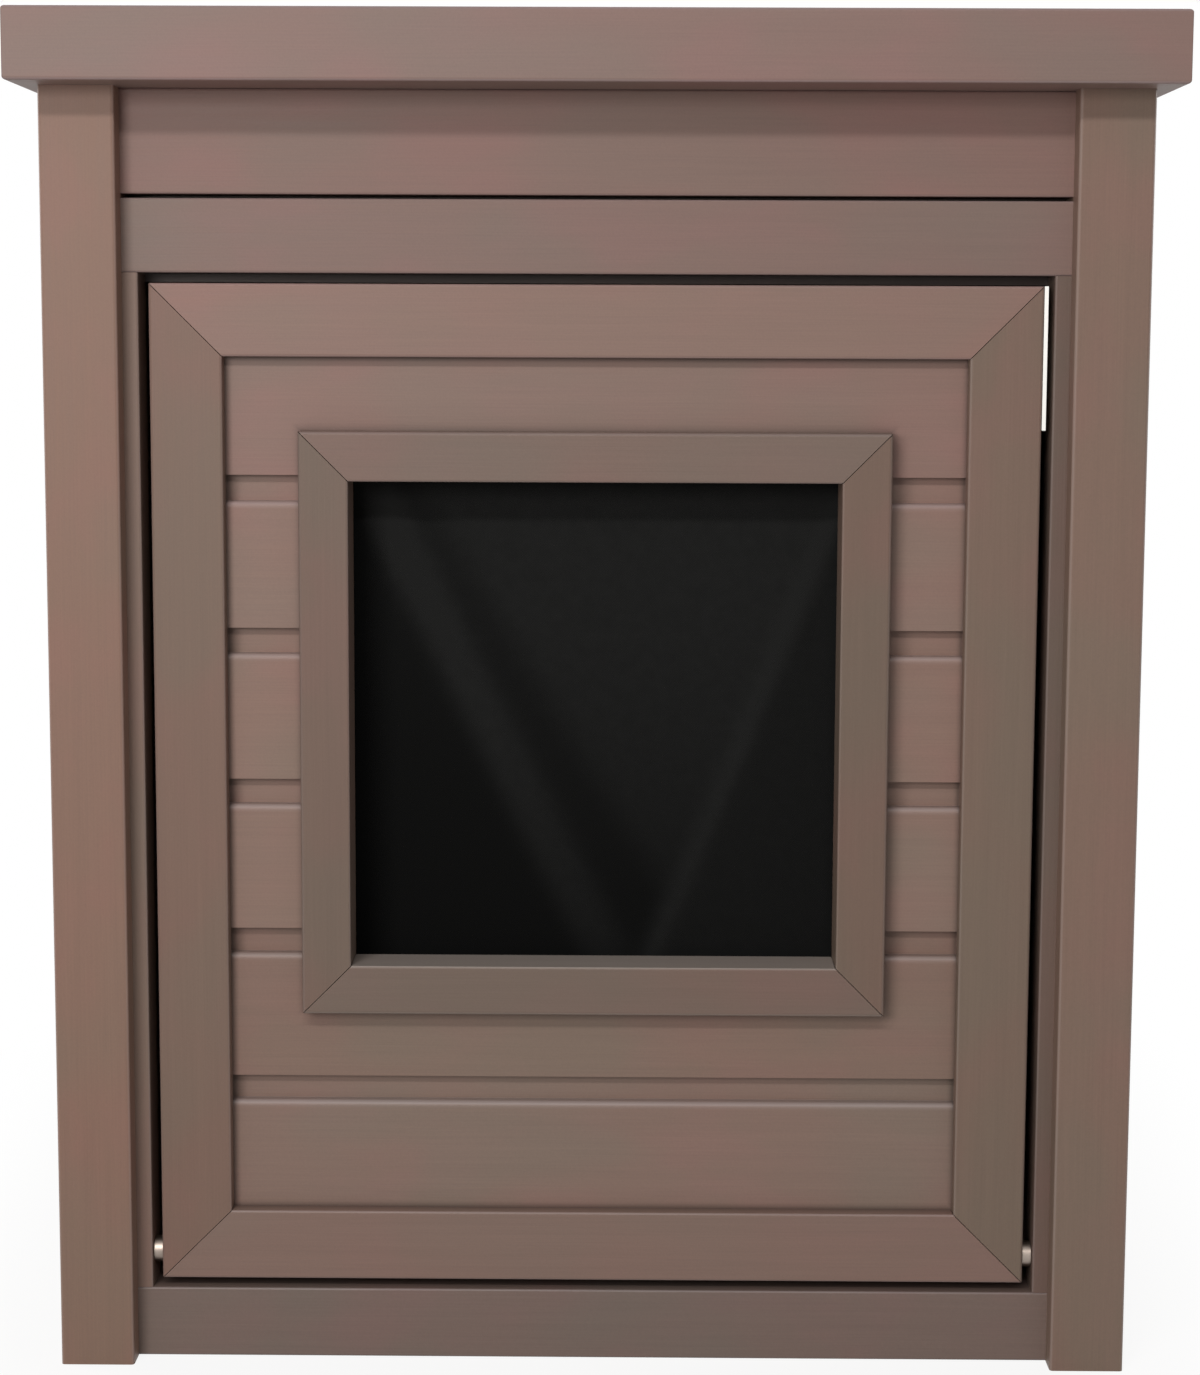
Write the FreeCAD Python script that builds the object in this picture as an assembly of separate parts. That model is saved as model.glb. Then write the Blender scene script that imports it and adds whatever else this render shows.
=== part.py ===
"""Cat litter box cabinet: a wood-composite end table with a drop-front door that a cat walks in through.

Millimetres. +Z is up, the front faces -Y, and the origin is on the floor under the middle of the top.
The front is a post at each side, a header board and a rail over a door that turns on two pins near its
lower corners. The door is a mitred frame round shiplap slats, with a square trimmed opening and a cloth
curtain behind it. The sides and the back are rails and shiplap slats between the posts.
"""

import FreeCAD
import Part

import math
import os

V = FreeCAD.Vector
tiny = 1e-6  # lengths below this count as none

# ---- overall ---------------------------------------------------------------------------------------
top_width = 470.0
top_depth = 600.0
total_height = 565.0

# ---- top -------------------------------------------------------------------------------------------
top_edge_height = 29.0  # the thick mitred border seen from the front
top_border = 50.0  # what shows of that border from above
top_ledge = 12.0  # the step on which the top panel rests
top_panel_thickness = 12.0
front_overhang = 24.0
side_overhang = 9.0
rear_overhang = 9.0
top_edge_round = 1.5

# ---- posts and the fixed front ---------------------------------------------------------------------
post_size = 31.0
post_round = 1.5
frame_setback = 12.0  # from the face of the posts back to the faces of the rails
header_height = 42.6
seam_gap = 1.6  # the dark line between the header board and the rail below it
front_rail_height = 30.3
rail_lip_thickness = 8.0  # the rail's lip closes the seam over it and the gap over the door from behind
rail_lip_rise = 12.0
rail_lip_clear = 0.7  # from the top of the door up to the lip
bottom_rail_height = 30.2
jamb_width = 6.6
board_round = 1.0
mitre_gap = 0.3  # the fine line that shows where two mitred pieces meet

# ---- shiplap slats ---------------------------------------------------------------------------------
slat_pitch = 64.1
slat_groove = 10.9
slat_thickness = 12.0
slat_groove_depth = 5.5
slat_lap = 5.0
slat_round = 2.4
slat_play = 0.2

# ---- sides, back and floor -------------------------------------------------------------------------
side_bottom_rail_height = 56.3
post_rabbet = 6.0  # how far the slats run into the posts
floor_thickness = 12.0
cleat_size = 15.0
cleat_end_gap = 30.0

# ---- door ------------------------------------------------------------------------------------------
door_gap = 4.2
door_frame_width = 30.0
door_recess = 7.5  # from the face of the door frame back to the face of its slats
door_rabbet = 8.0  # how far the slats run behind the frame
door_first_face = 49.0  # what shows of the highest slat
door_edge_round = 1.2

# ---- entry opening in the door ---------------------------------------------------------------------
entry_width = 204.2
entry_height = 204.0
entry_drop = 30.4  # from the inside of the door frame's top down to the trim
entry_trim_width = 20.7
entry_trim_proud = 12.0  # from the face of the slats forward to the face of the trim
entry_lining = 4.0
entry_trim_round = 1.6
lining_play = 0.2

# ---- door pivots -----------------------------------------------------------------------------------
pivot_height = 45.0
pivot_depth = 8.0  # behind the face of the door frame
pivot_radius = 3.0
pivot_in_door = 20.0
pivot_in_post = 14.0
pivot_play = 0.05
pivot_end_play = 0.5
spacer_radius = 5.5
spacer_play = 0.3

# ---- catch -----------------------------------------------------------------------------------------
strike_thickness = 1.6
strike_height = 59.0
strike_back_width = 22.0
catch_height = 36.0
catch_width = 21.0
catch_depth = 14.0
catch_drop = 12.0  # from the top of the strike plate down to the top of the catch
catch_play = 0.3
magnet_margin = 2.5
magnet_height = 16.0
magnet_proud = 1.5
magnet_depth = 10.0
catch_screw_in = 5.5  # from the ends of the catch to its screws
strike_screw_in = 6.0  # from the ends of the strike plate to its screws

# ---- curtain ---------------------------------------------------------------------------------------
curtain_width = 236.0
curtain_top_over = 18.0  # above the top of the entry
curtain_drop = 234.0
curtain_thickness = 1.6
curtain_clear = 3.2  # from the back of the door to the flat of the cloth
fold_height = 7.0
fold_width = 26.0
fold_in = 20.0  # from the side of the cloth to the crest of its fold, at the top
fold_left_foot = -6.0  # where the left fold ends, at the bottom
fold_right_foot = 34.0
hook_wire = 1.0  # radius of the wire
hook_bend = 5.0
hook_tip = 4.0
hook_bite = 8.0
hook_in = 4.0  # from the side of the cloth to the hook
hook_hole_play = 0.4
hook_seat_play = 0.05

# ---- screws ----------------------------------------------------------------------------------------
screw_radius = 2.0
screw_head_radius = 3.8
screw_head_length = 2.2
screw_length = 27.0
screw_play = 0.05
screw_end_gap = 60.0
small_screw_radius = 1.4
small_head_radius = 2.6
small_head_length = 1.2
small_screw_length = 10.0

# ---- places worked out from the sizes above --------------------------------------------------------
top_underside = total_height - top_edge_height
front_edge = -top_depth / 2
rear_edge = top_depth / 2
post_front = front_edge + front_overhang
post_rear = rear_edge - rear_overhang
post_outer = top_width / 2 - side_overhang
post_inner = post_outer - post_size
frame_face = post_front + frame_setback
front_inner = post_front + post_size
rear_inner = post_rear - post_size
header_bottom = top_underside - header_height
front_rail_top = header_bottom - seam_gap
front_rail_bottom = front_rail_top - front_rail_height
jamb_inner = post_inner - jamb_width

door_half = jamb_inner - door_gap
door_top = front_rail_bottom - door_gap
door_bottom = bottom_rail_height + door_gap
door_face = frame_face
door_thickness = door_recess + slat_thickness
door_back = door_face + door_thickness
door_panel_face = door_face + door_recess
door_inner_half = door_half - door_frame_width
door_inner_top = door_top - door_frame_width
door_inner_bottom = door_bottom + door_frame_width

entry_half = entry_width / 2
entry_top = door_inner_top - entry_drop - entry_trim_width
entry_sill = entry_top - entry_height
trim_face = door_panel_face - entry_trim_proud

pivot_y = door_face + pivot_depth
curtain_top = entry_top + curtain_top_over
curtain_bottom = curtain_top - curtain_drop
curtain_face = door_back + curtain_clear
curtain_hinge_y = curtain_face + curtain_thickness / 2
curtain_hinge_height = curtain_top - curtain_thickness / 2
hook_height = curtain_hinge_height - hook_bend
hook_x = curtain_width / 2 - hook_in


# ---- helpers ---------------------------------------------------------------------------------------
def rounded_wire(corners, place):
    """Closed wire through corners (a, b, radius), each corner rounded by its radius; place makes points."""
    starts, ends, mids = [], [], []
    count = len(corners)
    for i, (a, b, radius) in enumerate(corners):
        here = V(a, b, 0)
        before = V(*corners[i - 1][:2], 0) - here
        after = V(*corners[(i + 1) % count][:2], 0) - here
        if radius <= 0:
            starts.append(here)
            mids.append(None)
            ends.append(here)
            continue
        before.normalize()
        after.normalize()
        half = before.getAngle(after) / 2
        run = radius / math.tan(half)
        middle = before + after
        middle.normalize()
        starts.append(here + before * run)
        mids.append(here + middle * (radius / math.sin(half) - radius))
        ends.append(here + after * run)
    edges = []
    for i in range(count):
        if mids[i] is not None:
            edges.append(Part.Arc(place(starts[i]), place(mids[i]), place(ends[i])).toShape())
        leave, reach = place(ends[i]), place(starts[(i + 1) % count])
        if (reach - leave).Length > tiny:
            edges.append(Part.LineSegment(leave, reach).toShape())
    return Part.Wire(edges)


def along_x(corners, x0, x1):
    """Prism from x0 to x1 of an outline in (y, z)."""
    wire = rounded_wire(corners, lambda p: V(x0, p.x, p.y))
    return Part.Face(wire).extrude(V(x1 - x0, 0, 0))


def along_y(corners, y0, y1):
    """Prism from y0 to y1 of an outline in (x, z)."""
    wire = rounded_wire(corners, lambda p: V(p.x, y0, p.y))
    return Part.Face(wire).extrude(V(0, y1 - y0, 0))


def along_z(corners, z0, z1):
    """Prism from z0 to z1 of an outline in (x, y)."""
    wire = rounded_wire(corners, lambda p: V(p.x, p.y, z0))
    return Part.Face(wire).extrude(V(0, 0, z1 - z0))


def box(x0, x1, y0, y1, z0, z1):
    """Box between two corners."""
    return Part.makeBox(x1 - x0, y1 - y0, z1 - z0, V(x0, y0, z0))


def rectangle(a0, a1, b0, b1, radius=0.0):
    """Corners of a rectangle, all rounded alike."""
    return [(a0, b0, radius), (a1, b0, radius), (a1, b1, radius), (a0, b1, radius)]


def rod(start, direction, radius, length):
    """Round bar."""
    return Part.makeCylinder(radius, length, start, direction)


def mirrored(shape):
    """The same piece on the other side of the cabinet."""
    return shape.mirror(V(0, 0, 0), V(1, 0, 0))


def mitred(prism, outer, inner, side, lay):
    """The part of prism that lies in one side's share of a mitred frame.

    outer and inner are (a0, a1, b0, b1) rectangles; lay makes the wedge of four corners."""
    a0, a1, b0, b1 = outer
    c0, c1, d0, d1 = inner
    g = mitre_gap * math.sqrt(0.5)
    corners = {
        "top": [(a0 + g, b1, 0), (a1 - g, b1, 0), (c1 - g, d1, 0), (c0 + g, d1, 0)],
        "bottom": [(a0 + g, b0, 0), (a1 - g, b0, 0), (c1 - g, d0, 0), (c0 + g, d0, 0)],
        "left": [(a0, b0 + g, 0), (a0, b1 - g, 0), (c0, d1 - g, 0), (c0, d0 + g, 0)],
        "right": [(a1, b0 + g, 0), (a1, b1 - g, 0), (c1, d1 - g, 0), (c1, d0 + g, 0)],
    }[side]
    return prism.common(lay(corners)).Solids[0]


def upright_frame(nodes, name, profile, edges, outer, inner, y0, y1):
    """Four mitred pieces round an opening in the door.

    edges gives each side's (edge, sign); profile(edge, sign) is its section, from that edge along sign."""
    for side, (edge, sign) in edges.items():
        section = profile(edge, sign)
        if side in ("left", "right"):
            prism = along_z(section, outer[2], outer[3])
        else:
            prism = along_x([(y, z, radius) for z, y, radius in section], outer[0], outer[1])
        nodes[f"{name}_{side}"] = [mitred(prism, outer, inner, side, lambda c: along_y(c, y0, y1))]


# ---- screws ----------------------------------------------------------------------------------------
def screw(head, direction, length, radius, head_radius, head_length, play=0.0):
    """Countersunk screw from the middle of its head's flat; with play it is the hole for that screw."""
    cone = Part.makeCone(head_radius + play, radius + play, head_length, head, direction)
    shank = rod(head, direction, radius + play, length + play)
    return cone.fuse(shank).removeSplitter()


def cut_all(nodes, prefixes, hole):
    """Cut a hole through every node whose name starts with one of the prefixes."""
    for name in nodes:
        if name.startswith(prefixes):
            nodes[name] = [part for solid in nodes[name] for part in solid.cut(hole).Solids]


class Screws:
    """Identical screws that share a node; each is also cut as a hole into the pieces it passes."""

    def __init__(self, length, radius, head_radius, head_length):
        self.sizes = (length, radius, head_radius, head_length)
        self.solids = []

    def drive(self, nodes, prefixes, head, direction):
        """Add a screw from the middle of its head's flat, and its hole in the nodes so named."""
        self.solids.append(screw(head, direction, *self.sizes))
        cut_all(nodes, prefixes, screw(head, direction, *self.sizes, play=screw_play))


# ---- top -------------------------------------------------------------------------------------------
def make_top(nodes):
    """A border of four mitred pieces, and the panel that lies on its ledge, flush with it."""
    half_x, half_y = top_width / 2, top_depth / 2
    outer = (-half_x, half_x, -half_y, half_y)
    wide = top_border + top_ledge
    inner = (-half_x + wide, half_x - wide, -half_y + wide, half_y - wide)
    step = total_height - top_panel_thickness

    def profile(out, towards):
        """Section of the border from its outer edge inwards, with the ledge for the panel."""
        return [
            (out, top_underside, top_edge_round),
            (out, total_height, top_edge_round),
            (out + towards * top_border, total_height, board_round),
            (out + towards * top_border, step, 0),
            (out + towards * wide, step, 0),
            (out + towards * wide, top_underside, 0),
        ]

    def wedge(corners):
        return along_z(corners, top_underside, total_height)

    pieces = {
        "front": ("bottom", along_x(profile(-half_y, 1), -half_x, half_x)),
        "rear": ("top", along_x(profile(half_y, -1), -half_x, half_x)),
        "left": ("left", along_y(profile(-half_x, 1), -half_y, half_y)),
        "right": ("right", along_y(profile(half_x, -1), -half_y, half_y)),
    }
    for name, (side, prism) in pieces.items():
        nodes[f"top_edge_{name}"] = [mitred(prism, outer, inner, side, wedge)]

    reach_x = half_x - top_border
    reach_y = half_y - top_border
    panel = box(-reach_x, reach_x, -reach_y, reach_y, step, total_height)
    rim = [e for e in panel.Edges if all(abs(v.Z - total_height) < tiny for v in e.Vertexes)]
    nodes["top_panel"] = [panel.makeFillet(board_round, rim)]


# ---- posts and the fixed front ---------------------------------------------------------------------
def make_posts(nodes):
    """Square posts at the corners, rabbeted for the ends of the side and back slats."""
    depth = slat_thickness + slat_play
    for end, y0, y1 in (("front", post_front, front_inner), ("rear", rear_inner, post_rear)):
        post = along_z(rectangle(post_inner, post_outer, y0, y1, post_round), 0, top_underside)
        if end == "front":
            side_rabbet = box(post_inner, post_inner + depth, y1 - post_rabbet, y1, 0, top_underside)
        else:
            side_rabbet = box(post_inner, post_inner + depth, y0, y0 + post_rabbet, 0, top_underside)
            back_rabbet = box(post_inner, post_inner + post_rabbet, y0, y0 + depth, 0, top_underside)
            post = post.cut(back_rabbet)
        post = post.cut(side_rabbet).Solids[0]
        nodes[f"post_{end}_right"] = [post]
        nodes[f"post_{end}_left"] = [mirrored(post)]


def make_front_frame(nodes):
    """The boards over and under the door, and a narrow jamb at each side of it."""
    y0, y1 = frame_face, front_inner

    def rail(z0, z1):
        corners = [(y0, z0, board_round), (y0, z1, board_round), (y1, z1, 0), (y1, z0, 0)]
        return along_x(corners, -post_inner, post_inner)

    nodes["header_board"] = [rail(header_bottom, top_underside)]
    lip_back = y1 + rail_lip_thickness
    lip_top, lip_bottom = header_bottom + rail_lip_rise, door_top + rail_lip_clear
    corners = [
        (y0, front_rail_bottom, board_round),
        (y0, front_rail_top, board_round),
        (y1, front_rail_top, 0),
        (y1, lip_top, 0),
        (lip_back, lip_top, 0),
        (lip_back, lip_bottom, 0),
        (y1, lip_bottom, 0),
        (y1, front_rail_bottom, 0),
    ]
    nodes["front_top_rail"] = [along_x(corners, -post_inner, post_inner)]
    nodes["front_bottom_rail"] = [rail(0, bottom_rail_height)]
    corners = [(jamb_inner, y0, board_round), (post_inner, y0, 0), (post_inner, y1, 0), (jamb_inner, y1, 0)]
    jamb = along_z(corners, bottom_rail_height, front_rail_bottom)
    nodes["door_jamb_right"] = [jamb]
    nodes["door_jamb_left"] = [mirrored(jamb)]


# ---- shiplap slats ---------------------------------------------------------------------------------
def slat_outline(low, high, lowest, highest, out, face):
    """Section of one slat as (depth, z). out is the way that its face looks, +1 or -1."""
    back = face - out * slat_thickness
    step = face - out * slat_groove_depth
    corners = [(face, low, 0)]
    if highest:
        corners += [(face, high, 0), (back, high, 0)]
    else:
        tongue_top = high + slat_groove + slat_lap
        corners += [(face, high, slat_round), (step, high, 0), (step, tongue_top, 0), (back, tongue_top, 0)]
    if lowest:
        corners.append((back, low, 0))
    else:
        seat = low + slat_lap + slat_play
        seat_face = step + out * slat_play
        corners += [(back, seat, 0), (seat_face, seat, 0), (seat_face, low, 0)]
    return corners


def slat_levels(low, high, first_face):
    """(bottom, top) of each slat's face, from the highest slat, first_face high, down to low."""
    levels = [(high - first_face, high)]
    while levels[-1][0] - slat_pitch > low:
        levels.append((levels[-1][0] - slat_pitch, levels[-1][0] - slat_groove))
    top = levels[-1][0] - slat_groove
    if top - low > slat_lap + slat_groove:
        levels.append((low, top))
    else:
        levels[-1] = (low, levels[-1][1])
    return levels


def slat_outlines(low, high, first_face, out, face):
    """Sections of all the slats between two heights, from the highest down."""
    levels = slat_levels(low, high, first_face)
    last = len(levels) - 1
    return [slat_outline(*level, i == last, i == 0, out, face) for i, level in enumerate(levels)]


def make_sides(nodes):
    """Rails at the top and bottom of each side, with slats between them."""
    rail_face = post_outer - frame_setback
    y0, y1 = front_inner, rear_inner

    def rail(z0, z1):
        corners = [
            (post_inner, z0, 0),
            (rail_face, z0, board_round),
            (rail_face, z1, board_round),
            (post_inner, z1, 0),
        ]
        return along_y(corners, y0, y1)

    top_rail = rail(header_bottom, top_underside)
    bottom_rail = rail(0, side_bottom_rail_height)
    for side, turn in (("right", lambda s: s), ("left", mirrored)):
        nodes[f"{side}_top_rail"] = [turn(top_rail)]
        nodes[f"{side}_bottom_rail"] = [turn(bottom_rail)]
    full_face = slat_pitch - slat_groove
    face = post_inner + slat_thickness
    outlines = slat_outlines(side_bottom_rail_height, header_bottom, full_face, 1, face)
    ends = (y0 - post_rabbet + slat_play, y1 + post_rabbet - slat_play)
    for number, outline in enumerate(outlines, 1):
        slat = along_y(outline, *ends)
        nodes[f"right_slat_{number}"] = [slat]
        nodes[f"left_slat_{number}"] = [mirrored(slat)]


def make_back(nodes):
    """Rails and slats; the slats' ends are tongues that clear the ends of the side slats in the posts."""
    y0, y1 = rear_inner, post_rear - frame_setback

    def rail(z0, z1):
        corners = [(y0, z0, 0), (y1, z0, board_round), (y1, z1, board_round), (y0, z1, 0)]
        return along_x(corners, -post_inner, post_inner)

    nodes["back_top_rail"] = [rail(header_bottom, top_underside)]
    nodes["back_bottom_rail"] = [rail(0, side_bottom_rail_height)]
    full_face = slat_pitch - slat_groove
    face = rear_inner + slat_thickness
    reach = post_inner + post_rabbet - slat_play
    shoulder = box(
        post_inner - slat_play,
        post_inner + post_rabbet,
        rear_inner - slat_play,
        rear_inner + post_rabbet + slat_play,
        0,
        top_underside,
    )
    nodes["back_slats"] = []
    for outline in slat_outlines(side_bottom_rail_height, header_bottom, full_face, 1, face):
        slat = along_x(outline, -reach, reach)
        nodes["back_slats"] += slat.cut(shoulder).cut(mirrored(shoulder)).Solids


def make_floor(nodes):
    """The floor on its two cleats, and the two cleats that the top is screwed to."""
    top = bottom_rail_height
    nodes["floor_panel"] = [
        box(-post_inner, post_inner, front_inner, rear_inner, top - floor_thickness, top)
    ]
    y0, y1 = front_inner + cleat_end_gap, rear_inner - cleat_end_gap
    x0, x1 = post_inner - cleat_size, post_inner
    low_top = top - floor_thickness
    low = box(x0, x1, y0, y1, low_top - cleat_size, low_top)
    high = box(x0, x1, y0, y1, top_underside - cleat_size, top_underside)
    nodes["support_cleats"] = [low, mirrored(low), high, mirrored(high)]


# ---- door ------------------------------------------------------------------------------------------
def make_door_frame(nodes):
    """Mitred frame with a rabbet at its back for the slats."""
    outer = (-door_half, door_half, door_bottom, door_top)
    inner = (-door_inner_half, door_inner_half, door_inner_bottom, door_inner_top)

    def profile(out, towards):
        """Section of the frame from its outer edge inwards, as (edge, depth)."""
        lip = out + towards * (door_frame_width - door_rabbet)
        edge = out + towards * door_frame_width
        return [
            (out, door_face, door_edge_round),
            (edge, door_face, door_edge_round),
            (edge, door_panel_face, 0),
            (lip, door_panel_face, 0),
            (lip, door_back, 0),
            (out, door_back, 0),
        ]

    edges = {
        "top": (door_top, -1),
        "bottom": (door_bottom, 1),
        "left": (-door_half, 1),
        "right": (door_half, -1),
    }
    upright_frame(nodes, "door_frame", profile, edges, outer, inner, door_face, door_back)


def make_door_slats(nodes):
    """Slats behind the door's frame, cut out round the lining of the entry."""
    hidden = door_rabbet - slat_play
    bottom, top = door_inner_bottom - hidden, door_inner_top + hidden
    outlines = slat_outlines(bottom, top, door_first_face + hidden, -1, door_panel_face)
    reach = door_inner_half + hidden
    side = entry_half + entry_lining + lining_play
    window = box(
        -side,
        side,
        door_panel_face - slat_play,
        door_back + slat_play,
        entry_sill - entry_lining - lining_play,
        entry_top + entry_lining + lining_play,
    )
    for number, outline in enumerate(outlines, 1):
        slat = along_x(outline, -reach, reach)
        nodes[f"door_slat_{number}"] = slat.cut(window).Solids


def make_entry_trim(nodes):
    """Mitred trim round the entry."""
    half, wide = entry_half, entry_trim_width
    outer = (-half - wide, half + wide, entry_sill - wide, entry_top + wide)
    inner = (-half, half, entry_sill, entry_top)

    def profile(edge, outwards):
        """Section of the trim from the entry outwards: a face flange and a lining through the slats."""
        rim = edge + outwards * wide
        lining = edge + outwards * entry_lining
        return [
            (edge, trim_face, board_round),
            (rim, trim_face, entry_trim_round),
            (rim, door_panel_face, 0),
            (lining, door_panel_face, 0),
            (lining, door_back, 0),
            (edge, door_back, 0),
        ]

    edges = {"top": (entry_top, 1), "bottom": (entry_sill, -1), "left": (-half, -1), "right": (half, 1)}
    upright_frame(nodes, "entry_trim", profile, edges, outer, inner, trim_face, door_back)


def make_pivots(nodes):
    """A pin at each lower corner, held in the jamb and the post, and a spacer in the gap beside the door."""
    start = V(door_half - pivot_in_door, pivot_y, pivot_height)
    length = pivot_in_door + door_gap + jamb_width + pivot_in_post
    across = V(1, 0, 0)
    pin = rod(start, across, pivot_radius, length)
    hole_length = length + 2 * pivot_end_play
    hole = rod(start - across * pivot_end_play, across, pivot_radius + pivot_play, hole_length)
    for turned_hole in (hole, mirrored(hole)):
        cut_all(nodes, ("door_frame_", "door_jamb_", "post_front_"), turned_hole)
    nodes["door_pivot_pins"] = [pin, mirrored(pin)]

    spacer_start = V(door_half + spacer_play, pivot_y, pivot_height)
    spacer_length = door_gap - 2 * spacer_play
    spacer = rod(spacer_start, across, spacer_radius, spacer_length)
    spacer = spacer.cut(rod(spacer_start, across, pivot_radius + pivot_play, spacer_length))
    nodes["door_pivot_spacers"] = [spacer, mirrored(spacer)]


def make_catch(nodes, cabinet_screws, door_screws):
    """An angle strike plate on the door's right edge, and a magnetic catch behind it on the side wall."""
    z1 = door_top
    z0 = z1 - strike_height
    edge_leg = box(door_half, door_half + strike_thickness, door_face, door_back + strike_thickness, z0, z1)
    back_leg = box(door_half - strike_back_width, door_half, door_back, door_back + strike_thickness, z0, z1)
    nodes["strike_plate"] = [edge_leg.fuse(back_leg).removeSplitter()]

    magnet_front = door_back + strike_thickness + catch_play
    case_front = magnet_front + magnet_proud
    case_top = z1 - catch_drop
    case_bottom = case_top - catch_height
    x0, x1 = post_inner - catch_width, post_inner
    case = box(x0, x1, case_front, case_front + catch_depth, case_bottom, case_top)
    middle = (case_top + case_bottom) / 2
    magnet = box(
        x0 + magnet_margin,
        door_half - magnet_margin,
        magnet_front,
        magnet_front + magnet_depth,
        middle - magnet_height / 2,
        middle + magnet_height / 2,
    )
    nodes["catch_case"] = [case.cut(magnet)]
    nodes["catch_magnet"] = [magnet]

    for z in (case_top - catch_screw_in, case_bottom + catch_screw_in):
        head = V(x0, case_front + catch_depth / 2, z)
        cabinet_screws.drive(nodes, ("catch_case", "right_slat_"), head, V(1, 0, 0))
    for z in (z1 - strike_screw_in, z0 + strike_screw_in):
        head = V(door_half - strike_back_width / 2, door_back + strike_thickness, z)
        door_screws.drive(nodes, ("strike_plate", "door_frame_"), head, V(0, -1, 0))


# ---- curtain ---------------------------------------------------------------------------------------
def curtain_section(z):
    """Wire round the cloth at one height: flat, with two rounded folds that run in towards the foot."""
    share = (curtain_top - z) / curtain_drop
    half = curtain_width / 2
    left = (1 - share) * (fold_in - half) + share * fold_left_foot
    right = (1 - share) * (half - fold_in) + share * fold_right_foot
    crest = [(left - fold_width / 2, left, left + fold_width / 2)]
    crest.append((right - fold_width / 2, right, right + fold_width / 2))

    def line(offset):
        """Points (x, y) along one face of the cloth; the middle of each arc is marked."""
        flat = curtain_face + offset
        runs = [((-half, flat), None, (crest[0][0], flat))]
        for start, middle, end in crest:
            if runs[-1][2][0] != start:
                runs.append((runs[-1][2], None, (start, flat)))
            runs.append(((start, flat), (middle, flat + fold_height), (end, flat)))
        runs.append((runs[-1][2], None, (half, flat)))
        return runs

    front, back = line(0), line(curtain_thickness)
    edges = []

    def add(run):
        start, middle, end = (None if p is None else V(p[0], p[1], z) for p in run)
        curve = Part.LineSegment(start, end) if middle is None else Part.Arc(start, middle, end)
        edges.append(curve.toShape())

    for run in front:
        add(run)
    add((front[-1][2], None, back[-1][2]))
    for start, middle, end in reversed(back):
        add((end, middle, start))
    add((back[0][0], None, front[0][0]))
    return Part.Wire(edges)


def hook_path():
    """Middle line of the right hook: out of the door, round the bend and up to its tip."""
    y, z = curtain_hinge_y, curtain_hinge_height
    turn = hook_bend * math.sqrt(0.5)
    root = V(hook_x, door_back - hook_bite, hook_height)
    low = V(hook_x, y, hook_height)
    bend = Part.Arc(low, V(hook_x, y + turn, z - turn), V(hook_x, y + hook_bend, z))
    end = V(hook_x, y + hook_bend, z + hook_tip)
    edges = [Part.LineSegment(root, low), bend, Part.LineSegment(bend.EndPoint, end)]
    return Part.Wire([edge.toShape() for edge in edges])


def make_curtain(nodes):
    """The cloth hangs by a hole in each top corner and swings about the middle of the hooks' bends."""
    cloth = Part.makeLoft([curtain_section(curtain_top), curtain_section(curtain_bottom)], True, True)
    path = hook_path()
    start = V(hook_x, door_back - hook_bite, hook_height)
    into_room = V(0, 1, 0)
    section = Part.Wire([Part.makeCircle(hook_wire, start, into_room)])
    hook = path.makePipeShell([section], True, True)
    seat = rod(start, into_room, hook_wire + hook_seat_play, hook_bite)
    hole = rod(start, into_room, hook_wire + hook_hole_play, 2 * hook_bite + curtain_clear)
    for turn in (lambda shape: shape, mirrored):
        cut_all(nodes, ("door_slat_",), turn(seat))
        cloth = cloth.cut(turn(hole)).Solids[0]
    nodes["entry_curtain"] = [cloth]
    nodes["curtain_hooks"] = [hook.Solids[0], mirrored(hook).Solids[0]]


# ---- fixing screws ---------------------------------------------------------------------------------
def drive_cleat_screws(nodes, screws):
    """Two screws through each cleat into the wall beside it, and two up through each high cleat."""
    low = bottom_rail_height - floor_thickness - cleat_size / 2
    high = top_underside - cleat_size / 2
    for side, sign in (("right", 1), ("left", -1)):
        x = sign * (post_inner - cleat_size)
        across = V(sign, 0, 0)
        for y in (front_inner + screw_end_gap, rear_inner - screw_end_gap):
            screws.drive(nodes, ("support_cleats", f"{side}_bottom_rail"), V(x, y, low), across)
            screws.drive(nodes, ("support_cleats", f"{side}_top_rail"), V(x, y, high), across)
            head = V(x + sign * cleat_size / 2, y + cleat_size, top_underside - cleat_size)
            screws.drive(nodes, ("support_cleats", f"top_edge_{side}"), head, V(0, 0, 1))


def build():
    """All the pieces, as node name to list of solids."""
    nodes = {}
    make_top(nodes)
    make_posts(nodes)
    make_front_frame(nodes)
    make_sides(nodes)
    make_back(nodes)
    make_floor(nodes)
    make_door_frame(nodes)
    make_door_slats(nodes)
    make_entry_trim(nodes)
    make_pivots(nodes)
    cabinet_screws = Screws(screw_length, screw_radius, screw_head_radius, screw_head_length)
    door_screws = Screws(small_screw_length, small_screw_radius, small_head_radius, small_head_length)
    drive_cleat_screws(nodes, cabinet_screws)
    make_catch(nodes, cabinet_screws, door_screws)
    make_curtain(nodes)
    nodes["cabinet_screws"] = cabinet_screws.solids
    nodes["door_screws"] = door_screws.solids
    return nodes


def main():
    """Write each node to its own file, after a look at whether it is sound."""
    os.makedirs("parts", exist_ok=True)
    for name, solids in build().items():
        shape = solids[0] if len(solids) == 1 else Part.makeCompound(solids)
        if not shape.isValid() or any(solid.Volume <= 0 for solid in shape.Solids):
            raise ValueError(f"{name} is not a sound solid")
        shape.exportStep(f"parts/{name}.step")


main()
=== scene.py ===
"""Looks of a cat litter box cabinet: a wood-composite end table with a drop-front door and a cat entry.

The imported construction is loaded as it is. Each sub-assembly is a class that dresses its own nodes, and
the curtain in the entry is modelled here as a finer sheet of cloth. Lengths are in metres, +Z is up and the
front faces -Y.
"""

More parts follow.
